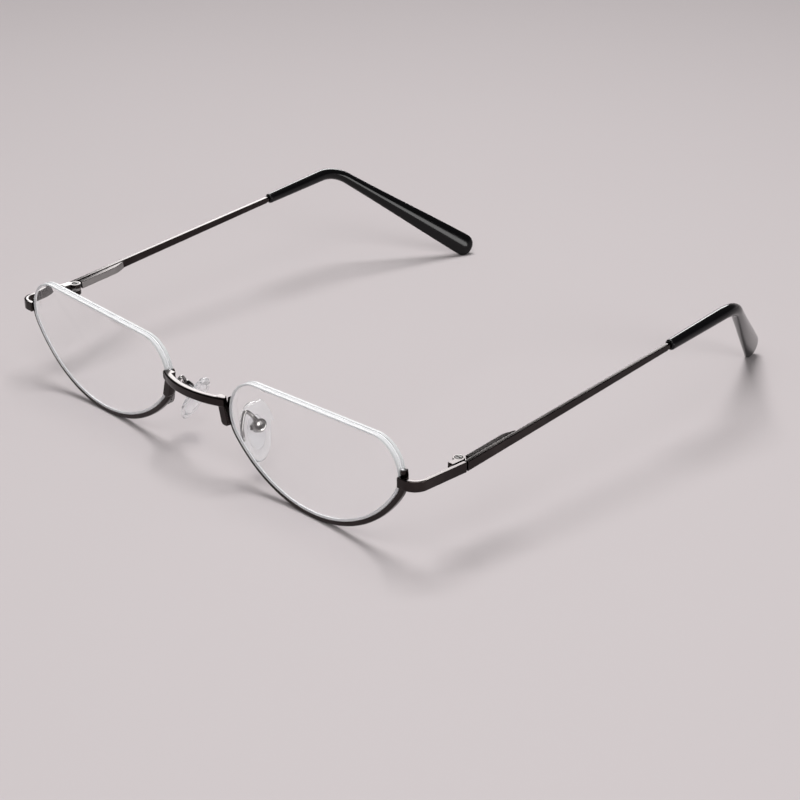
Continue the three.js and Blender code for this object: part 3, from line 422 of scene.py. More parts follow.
def points_of(geom):
    """The vertices among some geometry."""
    return [v for v in geom if isinstance(v, bmesh.types.BMVert)]


def section(bm, corners, *roundings):
    """Flat face through a few corners. Each rounding is a radius, its steps and the corners it takes."""
    points = [bm.verts.new(c) for c in corners]
    bm.faces.new(points)
    for radius, steps, chosen in roundings:
        bmesh.ops.bevel(
            bm, geom=[points[k] for k in chosen], offset=radius, offset_type="OFFSET", segments=steps,
            profile=0.5, affect="VERTICES", material=-1)
    return everything(bm)


def turn(bm, geom, centre, axis, by, steps):
    """Carry a section round an axis."""
    return bmesh.ops.spin(
        bm, geom=geom, cent=centre, axis=axis, angle=by, steps=steps, use_duplicate=False)["geom_last"]


def push(bm, geom, vector):
    """Carry a section along a straight line."""
    moved = bmesh.ops.extrude_face_region(bm, geom=geom)["geom"]
    bmesh.ops.translate(bm, vec=vector, verts=points_of(moved))
    return moved


def round_edges(bm, radius, steps, chosen):
    """Round the edges that a test chooses."""
    edges = [e for e in bm.edges if e.is_manifold and chosen(e)]
    bmesh.ops.bevel(
        bm, geom=edges, offset=radius, offset_type="OFFSET", segments=steps, profile=0.5,
        affect="EDGES", clamp_overlap=True, material=-1)


def is_corner(edge):
    """Whether two faces meet at an edge as a corner."""
    return edge.calc_face_angle(0.0) > SHARP_ANGLE


def is_square(edge):
    """Whether two faces meet at an edge about squarely."""
    return edge.calc_face_angle(0.0) > SQUARE_ANGLE


def seal(bm):
    """Merge what meets and turn the faces outwards."""
    bmesh.ops.remove_doubles(bm, verts=bm.verts[:], dist=1e-4)
    bmesh.ops.recalc_face_normals(bm, faces=bm.faces[:])
    return bm


def block(low, high, radius=0.0, steps=2):
    """Block between two corners, with rounded edges."""
    bm = bmesh.new()
    middle = (Vector(low) + Vector(high)) / 2
    size = Vector(high) - Vector(low)
    bmesh.ops.create_cube(bm, size=1.0, matrix=Matrix.Translation(middle) @ Matrix.Diagonal(size.to_4d()))
    if radius:
        round_edges(bm, radius, steps, is_corner)
    return seal(bm)


def turned(profile, axis_matrix, steps=32):
    """Solid turned on a lathe: a profile of radius and height, round the Z axis of a matrix."""
    bm = bmesh.new()
    points = [bm.verts.new((radius, 0, height)) for radius, height in profile]
    edges = [bm.edges.new(pair) for pair in zip(points, points[1:])]
    bmesh.ops.spin(
        bm, geom=points + edges, cent=(0, 0, 0), axis=UP, angle=FULL_TURN, steps=steps,
        use_merge=True, use_duplicate=False)
    bmesh.ops.transform(bm, matrix=axis_matrix, verts=bm.verts[:])
    return seal(bm)


def pin(diameter, low, high, axis_matrix, edge=0.0, steps=32):
    """Round pin with chamfered ends."""
    radius = diameter / 2
    profile = [
        (0, low), (radius - edge, low), (radius, low + edge),
        (radius, high - edge), (radius - edge, high), (0, high)]
    return turned(profile, axis_matrix, steps)


def as_mesh(bm, name):
    """Mesh data from a bmesh."""
    mesh = bpy.data.meshes.new(name)
    bm.to_mesh(mesh)
    return mesh


def put_in_scene(name, data):
    """New object in the scene."""
    thing = bpy.data.objects.new(name, data)
    bpy.context.scene.collection.objects.link(thing)
    return thing


def combine(bm, operation, tool):
    """Join a closed shape with another, or cut the other out of it."""
    pair = []
    for name, shape in (("whole", bm), ("tool", tool)):
        pair.append(put_in_scene(name, as_mesh(shape, name)))
        shape.free()
    whole, cutter = pair
    modifier = whole.modifiers.new("combine", "BOOLEAN")
    modifier.operation = operation
    modifier.object = cutter
    modifier.solver = "EXACT"
    evaluated = whole.evaluated_get(bpy.context.evaluated_depsgraph_get())
    result = bmesh.new()
    result.from_mesh(evaluated.to_mesh())
    evaluated.to_mesh_clear()
    for thing in pair:
        mesh = thing.data
        bpy.data.objects.remove(thing)
        bpy.data.meshes.remove(mesh)
    if not result.faces:
        raise RuntimeError(f"nothing is left after {operation}")
    return result


def ring_frame(point, across, up, along):
    """Matrix that puts a circle of radius 1 on a ring's place, with its two half widths."""
    columns = [across.to_4d(), up.to_4d(), along.to_4d(), point.to_4d()]
    for column in columns[:3]:
        column.w = 0.0
    return Matrix(columns).transposed()


def sweep(bm, frames, sides):
    """Closed tube through a row of ring frames. Returns the faces of its two ends."""
    bmesh.ops.create_circle(bm, cap_ends=True, segments=sides, radius=1.0, matrix=frames[0])
    geom = everything(bm)
    first = bm.faces[:][0]
    for before, after in zip(frames, frames[1:]):
        geom = bmesh.ops.extrude_face_region(bm, geom=geom)["geom"]
        bmesh.ops.transform(bm, matrix=after @ before.inverted(), verts=points_of(geom))
    last = [f for f in geom if isinstance(f, bmesh.types.BMFace)][0]
    return first, last


def wire_frames(points, radii):
    """Ring frames of a round wire along some points, without twist."""
    frames = []
    side = (points[1] - points[0]).orthogonal()
    for k, point in enumerate(points):
        along = (points[min(k + 1, len(points) - 1)] - points[max(k - 1, 0)]).normalized()
        side = (side - along * side.dot(along)).normalized()
        frames.append(ring_frame(point, side * radii[k], along.cross(side) * radii[k], along))
    return frames


def mix(a, b, share):
    """Number between two numbers."""
    return a + (b - a) * share


def smooth_share(share):
    """Share from 0 to 1 that starts and ends gently."""
    share = min(max(share, 0.0), 1.0)
    return share * share * (3 - 2 * share)


# Finished pieces

def add_piece(bm, node, body, finishes):
    """Object for a finished mesh, riding on its body in place of its CAD node."""
    name = f"dressed_{node}"
    piece = put_in_scene(name, as_mesh(bm, name))
    for finish in finishes:
        piece.data.materials.append(finish)
    shading = piece.modifiers.new("even_shading", "WEIGHTED_NORMAL")
    shading.keep_sharp = True
    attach(piece, body)
    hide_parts(node)
    return piece


def settle(bm, place):
    """Put a millimetre mesh in its place in metres, smooth but for its sharp edges."""
    bmesh.ops.transform(bm, matrix=Matrix.Scale(MM, 4) @ place, verts=bm.verts[:])
    for face in bm.faces:
        face.smooth = True
    for edge in bm.edges:
        edge.smooth = edge.calc_face_angle(0.0) < SHARP_ANGLE


def add_pair(bm, name, place, body, slot, *finishes):
    """A piece on the right, and its mirror image on the left."""
    settle(bm, place)
    for side in SIDES:
        if side == "left":
            bmesh.ops.transform(bm, matrix=Matrix.Scale(-1, 4, (1, 0, 0)), verts=bm.verts[:])
            bmesh.ops.reverse_faces(bm, faces=bm.faces[:])
        add_piece(bm, f"{name}_{side}", body.format(side=side), finishes)
    bm.free()


# Lenses, rims and thread

def on_arc(centre, radius, at, depth):
    """Point round a centre of the outline, at a depth behind the plane of the rims."""
    return Vector((centre.x + radius * math.cos(at), depth, centre.z + radius * math.sin(at)))


def follow_rim(bm, geom, moon):
    """Carry a section from the rim's nose end, under the lens, to its temple end."""
    geom = turn(bm, geom, moon.nose, TURN_AXIS, moon.nose_join - moon.rim_nose, 14)
    geom = turn(bm, geom, moon.arc, TURN_AXIS, moon.temple_join + FULL_TURN - moon.nose_join, 60)
    return turn(bm, geom, moon.temple, TURN_AXIS, moon.rim_temple - moon.temple_join, 14)


def follow_top(bm, geom, moon, start, end):
    """Carry a section from the temple corner over the top edge to the nose corner."""
    geom = turn(bm, geom, moon.temple, TURN_AXIS, moon.top - start, 20)
    straight = on_arc(moon.nose, moon.nose_radius, moon.top, 0) - on_arc(
        moon.temple, moon.temple_radius, moon.top, 0)
    geom = push(bm, geom, straight)
    return turn(bm, geom, moon.nose, TURN_AXIS, end - moon.top, 20)


def fill_face(bm, loop, middle, depth, height, rings):
    """Close a lens face with shrinking copies of its outline that rise to the middle."""
    geom = loop
    share = 1.0
    for k in range(1, rings + 1):
        edges = [e for e in geom if isinstance(e, bmesh.types.BMEdge)]
        geom = bmesh.ops.extrude_edge_only(bm, edges=edges)["geom"]
        points = points_of(geom)
        after = 1.0 - k / rings
        if k == rings:
            bmesh.ops.pointmerge(bm, verts=points, merge_co=middle + Vector((0, depth + height, 0)))
            break
        shrink = after / share
        bmesh.ops.scale(bm, vec=(shrink, 1, shrink), space=Matrix.Translation(-middle), verts=points)
        rise = height * (share ** 2 - after ** 2)
        bmesh.ops.translate(bm, vec=(0, rise, 0), verts=points)
        share = after


def lens_shape(context):
    """Half-moon lens: grooved edge band carried round the outline, and two curved faces."""
    lens = sizes(context, "lens")
    moon = half_moon(context)
    half = lens.edge / 2
    groove = lens.groove_width / 2
    band = [
        (-lens.chamfer, -half), (0, lens.chamfer - half), (0, -groove), (-lens.groove_depth, -groove),
        (-lens.groove_depth, groove), (0, groove), (0, half - lens.chamfer), (-lens.chamfer, half)]
    bm = bmesh.new()
    points = [
        bm.verts.new(on_arc(moon.nose, moon.nose_radius + offset, moon.rim_nose, depth))
        for offset, depth in band]
    edges = [bm.edges.new(pair) for pair in zip(points, points[1:])]
    geom = follow_rim(bm, points + edges, moon)
    follow_top(bm, geom, moon, moon.rim_temple, moon.rim_nose)
    bmesh.ops.remove_doubles(bm, verts=bm.verts[:], dist=1e-3)
    edge_band = set(bm.faces)
    middle = Vector((moon.arc.x, 0, moon.rim_outer + lens.height / 2))
    for depth, height in ((-half, -lens.bulge), (half, -lens.hollow)):
        loop = [e for e in bm.edges if e.is_boundary and e.verts[0].co.y * depth > 0]
        fill_face(bm, loop, middle, depth, height, 14)
    bmesh.ops.recalc_face_normals(bm, faces=bm.faces[:])
    for face in bm.faces:
        face.material_index = 1 if face in edge_band else 0
    return bm


def rim_shape(context):
    """Grooved half rim with rounded edges."""
    lens = sizes(context, "lens")
    front = sizes(context, "front")
    moon = half_moon(context)
    inner = lens.seat_gap
    outer = moon.rim_outer
    floor = inner + front.rim_groove
    half = front.rim_depth / 2
    groove = lens.groove_width / 2
    outline = [
        (inner, -half), (outer, -half), (outer, half), (inner, half),
        (inner, groove), (floor, groove), (floor, -groove), (inner, -groove)]
    bm = bmesh.new()
    corners = [
        on_arc(moon.nose, moon.nose_radius + offset, moon.rim_nose, depth)
        for offset, depth in outline]
    geom = section(bm, corners, (front.rim_rounding, 4, (1, 2)), (front.rim_lip, 2, (0, 3)))
    follow_rim(bm, geom, moon)
    return seal(bm)


def thread_shape(context):
    """Nylon thread in the groove over the top edge."""
    lens = sizes(context, "lens")
    moon = half_moon(context)
    radius = lens.thread / 2
    start = moon.rim_temple + lens.thread_gap
    offset = lens.seat_gap + radius - lens.groove_depth
    out = Vector((math.cos(start), 0, math.sin(start)))
    middle = on_arc(moon.temple, moon.temple_radius + offset, start, 0)
    bm = bmesh.new()
    bmesh.ops.create_circle(
        bm, cap_ends=True, segments=12, radius=radius,
        matrix=ring_frame(middle, out, -TURN_AXIS, out.cross(-TURN_AXIS)))
    follow_top(bm, everything(bm), moon, start, moon.rim_nose - lens.thread_gap)
    return seal(bm)


class GLASSES_OT_lenses(bpy.types.Operator):
    """Build the two lenses and the thread over their top edges"""

    bl_idname = "glasses.lenses"
    bl_label = "Lenses"

    def execute(self, context):
        place = front_matrix(context)
        add_pair(lens_shape(context), "lens", place, "front", "lens_plastic",
                 finish(context, "clear_lens"), finish(context, "lens_edge"))
        add_pair(thread_shape(context), "lens_thread", place, "front", "nylon", finish(context, "nylon"))
        return {"FINISHED"}


class GLASSES_OT_rims(bpy.types.Operator):
    """Build the two half rims"""

    bl_idname = "glasses.rims"
    bl_label = "Rims"

    def execute(self, context):
        add_pair(rim_shape(context), "rim", front_matrix(context), "front", "gunmetal",
                 finish(context, "gunmetal"))
        return {"FINISHED"}


# Bridge and endpieces

def bridge_shape(context):
    """Bowed bar with two rounded legs."""
    front = sizes(context, "front")
    moon = half_moon(context)
    lean = math.tan(front.leg_lean)
    leg_clear = (moon.nose_radius + front.clearance) / math.cos(front.leg_lean)
    leg_x = moon.nose.x - leg_clear - (front.bridge_top - moon.nose.z) * lean
    back = solder_depth(front, moon.nose_x - moon.rim_outer)
    radius = (leg_x ** 2 + front.bow ** 2) / (2 * front.bow)
    centre = Vector((0, back - front.bow + radius, 0))
    spread = math.asin(leg_x / radius)
    low = front.bridge_top - front.bridge_height
    bar = bmesh.new()
    start = -math.pi / 2 - spread
    corners = [
        centre + Vector((r * math.cos(start), r * math.sin(start), z))
        for r, z in ((radius, low), (radius + front.bridge_depth, low),
                     (radius + front.bridge_depth, front.bridge_top), (radius, front.bridge_top))]
    geom = section(bar, corners, (front.bar_rounding, 4, range(4)))
    turn(bar, geom, centre, UP, 2 * spread, 36)
    whole = seal(bar)
    foot = front.bridge_top - front.leg_length
    for side in (-1, 1):
        middle = side * (leg_x - front.leg_width / 2)
        leg = bmesh.new()
        outer, inner = middle + front.leg_width / 2, middle - front.leg_width / 2
        face_y = back - front.leg_depth
        spread_out = side * lean * front.leg_length
        corners = [(inner + spread_out, face_y, foot), (outer + spread_out, face_y, foot),
                   (outer, face_y, front.bridge_top), (inner, face_y, front.bridge_top)]
        geom = section(leg, corners, (front.leg_rounding, 5, (0, 1)), (front.metal_rounding, 3, (2, 3)))
        push(leg, geom, (0, front.leg_depth, 0))
        seal(leg)
        round_edges(leg, front.metal_rounding, 3, is_square)
        whole = combine(whole, "UNION", seal(leg))
    return whole


class GLASSES_OT_bridge(bpy.types.Operator):
    """Build the bridge"""

    bl_idname = "glasses.bridge"
    bl_label = "Bridge"

    def execute(self, context):
        bm = bridge_shape(context)
        settle(bm, glasses_matrix(context))
        add_piece(bm, "bridge", "front", [finish(context, "gunmetal")])
        bm.free()
        return {"FINISHED"}


def endpiece_shape(context):
    """Strip from the rim's front, round a bend and back to the hinge seam."""
    front = sizes(context, "front")
    thickness = sizes(context, "temple").thickness
    moon = half_moon(context)
    start_x = moon.temple_x + front.clearance
    back = solder_depth(front, start_x)
    bend_x = start_x + front.endpiece_flat
    bend = front.half_width - bend_x
    bend_y = back - thickness + bend
    middle = hinge_place().z
    low, high = middle - front.endpiece_height / 2, middle + front.endpiece_height / 2
    bm = bmesh.new()
    corners = [(start_x, back - thickness, low), (start_x, back, low), (start_x, back, high),
               (start_x, back - thickness, high)]
    geom = section(bm, corners, (front.metal_rounding, 3, range(4)))
    geom = push(bm, geom, (front.endpiece_flat, 0, 0))
    geom = turn(bm, geom, (bend_x, bend_y, 0), UP, math.pi / 2, 20)
    push(bm, geom, (0, front.seam - front.seam_gap / 2 - bend_y, 0))
    seal(bm)
    round_edges(bm, front.metal_rounding / 2, 2, is_square)
    return seal(bm)


class GLASSES_OT_endpieces(bpy.types.Operator):
    """Build the two endpieces"""

    bl_idname = "glasses.endpieces"
    bl_label = "Endpieces"

    def execute(self, context):
        add_pair(endpiece_shape(context), "endpiece", glasses_matrix(context), "front", "gunmetal",
                 finish(context, "gunmetal"))
        return {"FINISHED"}


# Hinges

def screw_shape(length_low, head_low, top, shank, head, hinge, axis_matrix):
    """Slotted screw with a low domed head, along the Z axis of a matrix."""
    edge = hinge.slot_depth / 2
    radius = head / 2
    profile = [
        (0, length_low), (shank / 2 - edge / 2, length_low), (shank / 2, length_low + edge / 2),
        (shank / 2, head_low), (radius, head_low), (radius, top - edge),
        (radius - edge / 3, top - edge / 3), (radius - edge, top), (0, top)]
    slot_half = hinge.slot_width / 2
    slot = block((-head, -slot_half, top - hinge.slot_depth), (head, slot_half, top + head))
    bmesh.ops.transform(slot, matrix=axis_matrix, verts=slot.verts[:])
    return combine(turned(profile, axis_matrix), "DIFFERENCE", slot)


def fork_shape(context):
    """Two knuckles on a leaf: one outline raised, with the eye's gap and the screw's bore cut out."""
    hinge = sizes(context, "hinge")
    front = sizes(context, "front")
    leaf_x = bar_sides(context)[1] - front.solder_gap
    gap = hinge.eye_height / 2 + hinge.knuckle_gap
    top = gap + hinge.knuckle_height
    bm = bmesh.new()
    first = bm.verts.new((hinge.knuckle_radius, 0, -top))
    arc = turn(bm, [first], (0, 0, 0), UP, 1.5 * math.pi, 30)
    last = points_of(arc)[0]
    leaf = [(0, -hinge.leaf, -top), (leaf_x, -hinge.leaf, -top), (leaf_x, 0, -top)]
    corners = [bm.verts.new(c) for c in leaf]
    for pair in zip([last] + corners, corners + [first]):
        bm.edges.new(pair)
    bmesh.ops.contextual_create(bm, geom=bm.edges[:])
    push(bm, everything(bm), (0, 0, 2 * top))
    seal(bm)
    round_edges(bm, KNUCKLE_EDGE, 3, lambda e: abs(e.verts[0].co.z + e.verts[1].co.z) > top)
    seal(bm)
    reach = 2 * hinge.leaf
    slab = block((-reach, -hinge.knuckle_radius - hinge.clearance, -gap), (reach, reach, gap))
    fork = combine(bm, "DIFFERENCE", slab)
    fork = combine(fork, "DIFFERENCE", pin(hinge.screw + 2 * hinge.pin_gap, -reach, reach, ALONG_Z))
    seat = top - hinge.head_height - hinge.pin_gap
    return combine(fork, "DIFFERENCE", pin(hinge.screw_head + 2 * hinge.pin_gap, seat, reach, ALONG_Z))


def slider_shape(context):
    """Eye on the hinge screw, with a neck and a headed rod, in the temple's frame."""
    hinge = sizes(context, "hinge")
    front = sizes(context, "front")
    level = Matrix.Rotation(-sizes(context, "temple").rise, 4, "X")
    rod_x = bar_sides(context)[1] - front.solder_gap - hinge.housing_width / 2
    along = Matrix.Translation((rod_x, 0, 0)) @ ALONG_Y
    neck_end = hinge.housing_start + hinge.neck_reach
    rod_end = hinge.housing_start + hinge.channel_length - hinge.rod_spare
    half = hinge.eye_height / 2
    body = pin(2 * hinge.knuckle_radius, -half, half, level, EYE_EDGE, 48)
    neck = block((rod_x - hinge.neck_width / 2, 0, -hinge.neck_height / 2),
                 (rod_x + hinge.neck_width / 2, neck_end, hinge.neck_height / 2), NECK_EDGE)
    rod = pin(hinge.rod, hinge.housing_start, rod_end - ROD_OVERLAP, along, 0.0, 20)
    head = pin(hinge.rod_head, rod_end - hinge.rod_head_length, rod_end, along, NECK_EDGE, 24)
    for more in (neck, rod, head):
        body = combine(body, "UNION", more)
    return combine(body, "DIFFERENCE", pin(hinge.screw + 2 * hinge.pin_gap, -2 * half, 2 * half, level))


def housing_shape(context):
    """Spring housing with a slanted rear end and a round channel."""
    hinge = sizes(context, "hinge")
    front = sizes(context, "front")
    outer = bar_sides(context)[1] - front.solder_gap
    inner = outer - hinge.housing_width
    rear = hinge.housing_start + hinge.housing_length
    low = -hinge.housing_height / 2
    corners = [
        (outer, hinge.housing_start, low), (outer, rear, low), (outer - hinge.housing_tail, rear, low),
        (inner, rear - hinge.housing_taper, low), (inner, hinge.housing_start, low)]
    bm = bmesh.new()
    geom = section(bm, corners, (HOUSING_CORNER, 4, (3,)))
    push(bm, geom, (0, 0, hinge.housing_height))
    seal(bm)
    round_edges(bm, HOUSING_EDGE, 3, is_corner)
    seal(bm)
    along = Matrix.Translation((outer - hinge.housing_width / 2, 0, 0)) @ ALONG_Y
    channel = pin(hinge.channel, 0, hinge.housing_start + hinge.channel_length, along)
    whole = combine(bm, "DIFFERENCE", channel)
    for face in whole.faces:
        faces_head = face.normal.x < -0.8
        face.material_index = 1 if faces_head else 0
    return whole


class GLASSES_OT_hinges(bpy.types.Operator):
    """Build the hinge forks, screws and sliders and the spring housings"""

    bl_idname = "glasses.hinges"
    bl_label = "Hinges"

    def execute(self, context):
        hinge = sizes(context, "hinge")
        gunmetal, steel = finish(context, "gunmetal"), finish(context, "steel")
        top = hinge.eye_height / 2 + hinge.knuckle_gap + hinge.knuckle_height
        screw = screw_shape(-top, top - hinge.head_height, top, hinge.screw, hinge.screw_head, hinge, ALONG_Z)
        temple = temple_matrix(context)
        add_pair(fork_shape(context), "hinge_fork", hinge_matrix(), "front", "gunmetal", gunmetal)
        add_pair(screw, "hinge_screw", hinge_matrix(), "front", "steel", finish(context, "screw_steel"))
        add_pair(slider_shape(context), "hinge_slider", temple, "slider_{side}", "steel", steel)
        add_pair(housing_shape(context), "hinge_housing", temple, "arm_{side}", "gunmetal", gunmetal, steel)
        return {"FINISHED"}


# Temples and black tips

def tip_path(context):
    """Middle line of the temple behind the bar: straight, round the ear bend, then down and inward."""
    temple = sizes(context, "temple")
    outer, inner = bar_sides(context)
    down = Vector((
        -math.cos(temple.drop) * math.sin(temple.inward), math.cos(temple.drop) * math.cos(temple.inward),
        -math.sin(temple.drop)))
    ahead = Vector((0, 1, 0))
    bend = ahead.angle(down)
    axis = ahead.cross(down).normalized()
    start = temple.bend_place - temple.bend_radius * math.tan(bend / 2) - temple.bar_length
    return SimpleNamespace(
        x=(outer + inner) / 2, y=temple.bar_length, ahead=ahead, axis=axis, bend=bend,
        radius=temple.bend_radius, start=start, end=start + temple.bend_radius * bend)


def tip_frame(path, distance, width, thickness):
    """Ring frame on the temple's middle line, tall in its side view and thin from side to side."""
    turned_by = min(max((distance - path.start) / path.radius, 0.0), path.bend)
    along = Matrix.Rotation(turned_by, 3, path.axis) @ path.ahead
    to_centre = path.axis.cross(path.ahead) * path.radius
    point = Vector((path.x, path.y + min(distance, path.start), 0)) + to_centre
    point -= Matrix.Rotation(turned_by, 3, path.axis) @ to_centre
    point += along * max(distance - path.end, 0.0)
    tall = Vector((0, -along.z, along.y)).normalized()
    return ring_frame(point, along.cross(tall) * (thickness / 2), tall * (width / 2), along)


def spaced(start, end, steps):
    """Evenly spaced distances after a start, up to an end."""
    return [mix(start, end, (k + 1) / steps) for k in range(steps)]


def temple_shape(context):
    """Flat bar with a plane outer face, turning into the round core of the black tip."""
    temple = sizes(context, "temple")
    front = sizes(context, "front")
    outer, inner = bar_sides(context)
    path = tip_path(context)
    bar_end = temple.bar_length - temple.core_blend
    half = temple.front_height / 2
    bm = bmesh.new()
    corners = [(outer, 0, -half), (outer, 0, half), (inner, 0, half), (inner, 0, -half)]
    geom = section(bm, corners, (front.metal_rounding, 3, range(4)))
    geom = push(bm, geom, (0, bar_end, 0))
    squeeze = temple.rear_height / temple.front_height
    bmesh.ops.scale(bm, vec=(1, 1, squeeze), verts=points_of(geom))
    cut = Vector((0, math.cos(temple.rise), -math.sin(temple.rise)))
    bmesh.ops.bisect_plane(
        bm, geom=everything(bm), plane_co=cut * (front.seam_gap / 2), plane_no=cut, clear_inner=True)
    bmesh.ops.holes_fill(bm, edges=[e for e in bm.edges if e.is_boundary], sides=0)
    seal(bm)
    bar_face = max(bm.faces, key=lambda f: f.calc_center_median().y if f.normal.y > 0.9 else -1)
    rim_edges = bar_face.edges[:]
    bmesh.ops.delete(bm, geom=[bar_face], context="FACES_ONLY")
    core_end = temple.tip_length - temple.tip_cover
    stations = [-temple.core_clearance] + spaced(0, path.start, 4) + spaced(path.start, path.end, 10)
    stations += spaced(path.end, core_end, 4)
    core = bmesh.new()
    first, _ = sweep(core, [tip_frame(path, s, temple.core, temple.core) for s in stations], len(rim_edges))
    bmesh.ops.delete(core, geom=[first], context="FACES_ONLY")
    joined = as_mesh(core, "core")
    core.free()
    bm.from_mesh(joined)
    bpy.data.meshes.remove(joined)
    bmesh.ops.bridge_loops(bm, edges=[e for e in bm.edges if e.is_boundary])
    seal(bm)
    round_edges(bm, front.metal_rounding / 2, 2, lambda e: is_square(e) and e.verts[0].co.y < front.seam_gap)
    return seal(bm)


def tip_shape(context):
    """Black tip: bore for the core, rolled front end, round sleeve, ear bend and rounded paddle."""
    temple = sizes(context, "temple")
    path = tip_path(context)
    bore = temple.core + 2 * temple.core_clearance
    bore_end = temple.tip_length - temple.tip_cover + temple.core_clearance
    full_end = temple.tip_length - temple.end_rounding
    inside = [bore_end] + spaced(bore_end, path.end, 4)[:-1] + [path.end] + spaced(path.end, path.start, 8)
    rings = [(s, bore, bore) for s in inside + spaced(path.start, temple.front_rounding / 2, 3)]
    roll = temple.front_rounding
    flat = temple.tip_front - 2 * roll
    rings.append((0.0, bore + roll / 2, bore + roll / 2))
    for k in range(6):
        at = k / 5 * math.pi / 2
        ring = flat + 2 * roll * math.sin(at)
        rings.append((roll * (1 - math.cos(at)), ring, ring))
    for s in spaced(roll, path.start, 6):
        ring = mix(temple.tip_front, temple.tip_bend, s / path.start)
        rings.append((s, ring, ring))
    rings += [(s, temple.tip_bend, temple.tip_bend) for s in spaced(path.start, path.end, 14)]
    for s in spaced(path.end, full_end, 22):
        share = (s - path.end) / (full_end - path.end)
        share = mix(share, smooth_share(share), 0.35)
        rings.append((s, mix(temple.tip_bend, temple.paddle_width, share),
                      mix(temple.tip_bend, temple.paddle_thickness, share)))
    for k in range(1, 10):
        at = k / 9 * math.radians(87)
        rings.append((
            full_end + temple.end_rounding * math.sin(at),
            temple.paddle_width * math.cos(at) ** 0.8, temple.paddle_thickness * math.cos(at) ** 0.6))
    bm = bmesh.new()
    sweep(bm, [tip_frame(path, *ring) for ring in rings], 32)
    return seal(bm)


class GLASSES_OT_temples(bpy.types.Operator):
    """Build the two temple bars with their cores"""

    bl_idname = "glasses.temples"
    bl_label = "Temples"

    def execute(self, context):
        add_pair(temple_shape(context), "temple", temple_matrix(context), "arm_{side}", "gunmetal",
                 finish(context, "gunmetal"))
        return {"FINISHED"}


class GLASSES_OT_temple_tips(bpy.types.Operator):
    """Build the two black temple tips"""

    bl_idname = "glasses.temple_tips"
    bl_label = "Temple tips"

    def execute(self, context):
        add_pair(tip_shape(context), "temple_tip", temple_matrix(context), "arm_{side}", "black_acetate",
                 finish(context, "black_acetate"))
        return {"FINISHED"}


# Nose pads

def arm_points(context):
    """Middle line of the pad arm: from the rim, up over a loop and down to the side of the box."""
    pad = sizes(context, "pad")
    lens = sizes(context, "lens")
    front = sizes(context, "front")
    moon = half_moon(context)
    root = on_arc(moon.arc, lens.arc_radius + (lens.seat_gap + moon.rim_outer) / 2, pad.root_angle, 0)
    rim_back = front.rim_depth / 2
    loop_x = moon.nose_x + pad.loop_x
    placed = pad_matrix(context) @ Matrix.Translation((pad.tab_radius + pad.tab_gap + pad.box_back / 2, 0, 0))
    seat_way = Vector((0, -math.sin(pad.seat_angle), math.cos(pad.seat_angle)))
    seat_end = pad.box / 2 + front.solder_gap
    stops = [
        Vector((root.x, rim_back + front.solder_gap, root.z)),
        Vector((root.x, rim_back + pad.foot, root.z)),
        Vector(((root.x + loop_x) / 2, pad.loop_front, (root.z + pad.loop_z) / 2)),
        Vector((loop_x, (pad.loop_front + pad.loop_back) / 2, pad.loop_z)),
        placed @ (seat_way * (seat_end + pad.seat_run)),
        placed @ (seat_way * seat_end)]
    ends = [2 * stops[0] - stops[1]] + stops + [2 * stops[-1] - stops[-2]]
    points = [stops[0]]
    for a, b, c, d in zip(ends, ends[1:], ends[2:], ends[3:]):
        before, here, after = ((q - p).length ** 0.5 for p, q in ((a, b), (b, c), (c, d)))
        leaving = ((b - a) / before - (c - a) / (before + here) + (c - b) / here) * here
        arriving = ((c - b) / here - (d - b) / (here + after) + (d - c) / after) * here
        points += interpolate_bezier(b, b + leaving / 3, c - arriving / 3, c, 12)[1:]
    return points


def arm_shape(context):
    """Round wire with a flared solder fillet at each end."""
    pad = sizes(context, "pad")
    points = arm_points(context)
    radius = pad.wire / 2
    radii = []
    for point in points:
        from_end = min((point - points[0]).length, (point - points[-1]).length)
        radii.append(radius * mix(FILLET_FLARE, 1, smooth_share(from_end / FILLET_LENGTH)))
    bm = bmesh.new()
    sweep(bm, wire_frames(points, radii), 20)
    return seal(bm)


def oval(x, width, height, drop):
    """Ring frame of an oval across the pad's X axis."""
    return ring_frame(
        Vector((x, 0, -drop)), Vector((0, width / 2, 0)), Vector((0, 0, height / 2)), Vector((1, 0, 0)))


def pad_shape(context):
    """Soft crowned pad with a moulded rim and a recess for the plate in its back."""
    pad = sizes(context, "pad")
    back = -pad.tab_length
    recess = back - pad.plate - pad.recess_gap
    recess_width, recess_height = pad.plate_width + 2 * pad.recess_gap, pad.plate_height + 2 * pad.recess_gap
    rings = [
        (x, recess_width + 2 * wider, recess_height + 2 * wider)
        for x, wider in ((recess, -RECESS_FILLET), (recess + RECESS_FILLET / 3, 0), (back - RECESS_MOUTH, 0),
                         (back, RECESS_MOUTH))]
    rings += [
        (back - depth * pad.thickness, pad.width * size, pad.height * size) for depth, size in PAD_CROWN]
    bm = bmesh.new()
    sweep(bm, [oval(x, width, height, pad.pad_drop) for x, width, height in rings], 40)
    return seal(bm)


def pad_bore(context, reach):
    """Bore for the pad screw."""
    bore = sizes(context, "pad").screw + 2 * sizes(context, "hinge").pin_gap
    return pin(bore, -reach, reach, ALONG_Y, 0, 20)


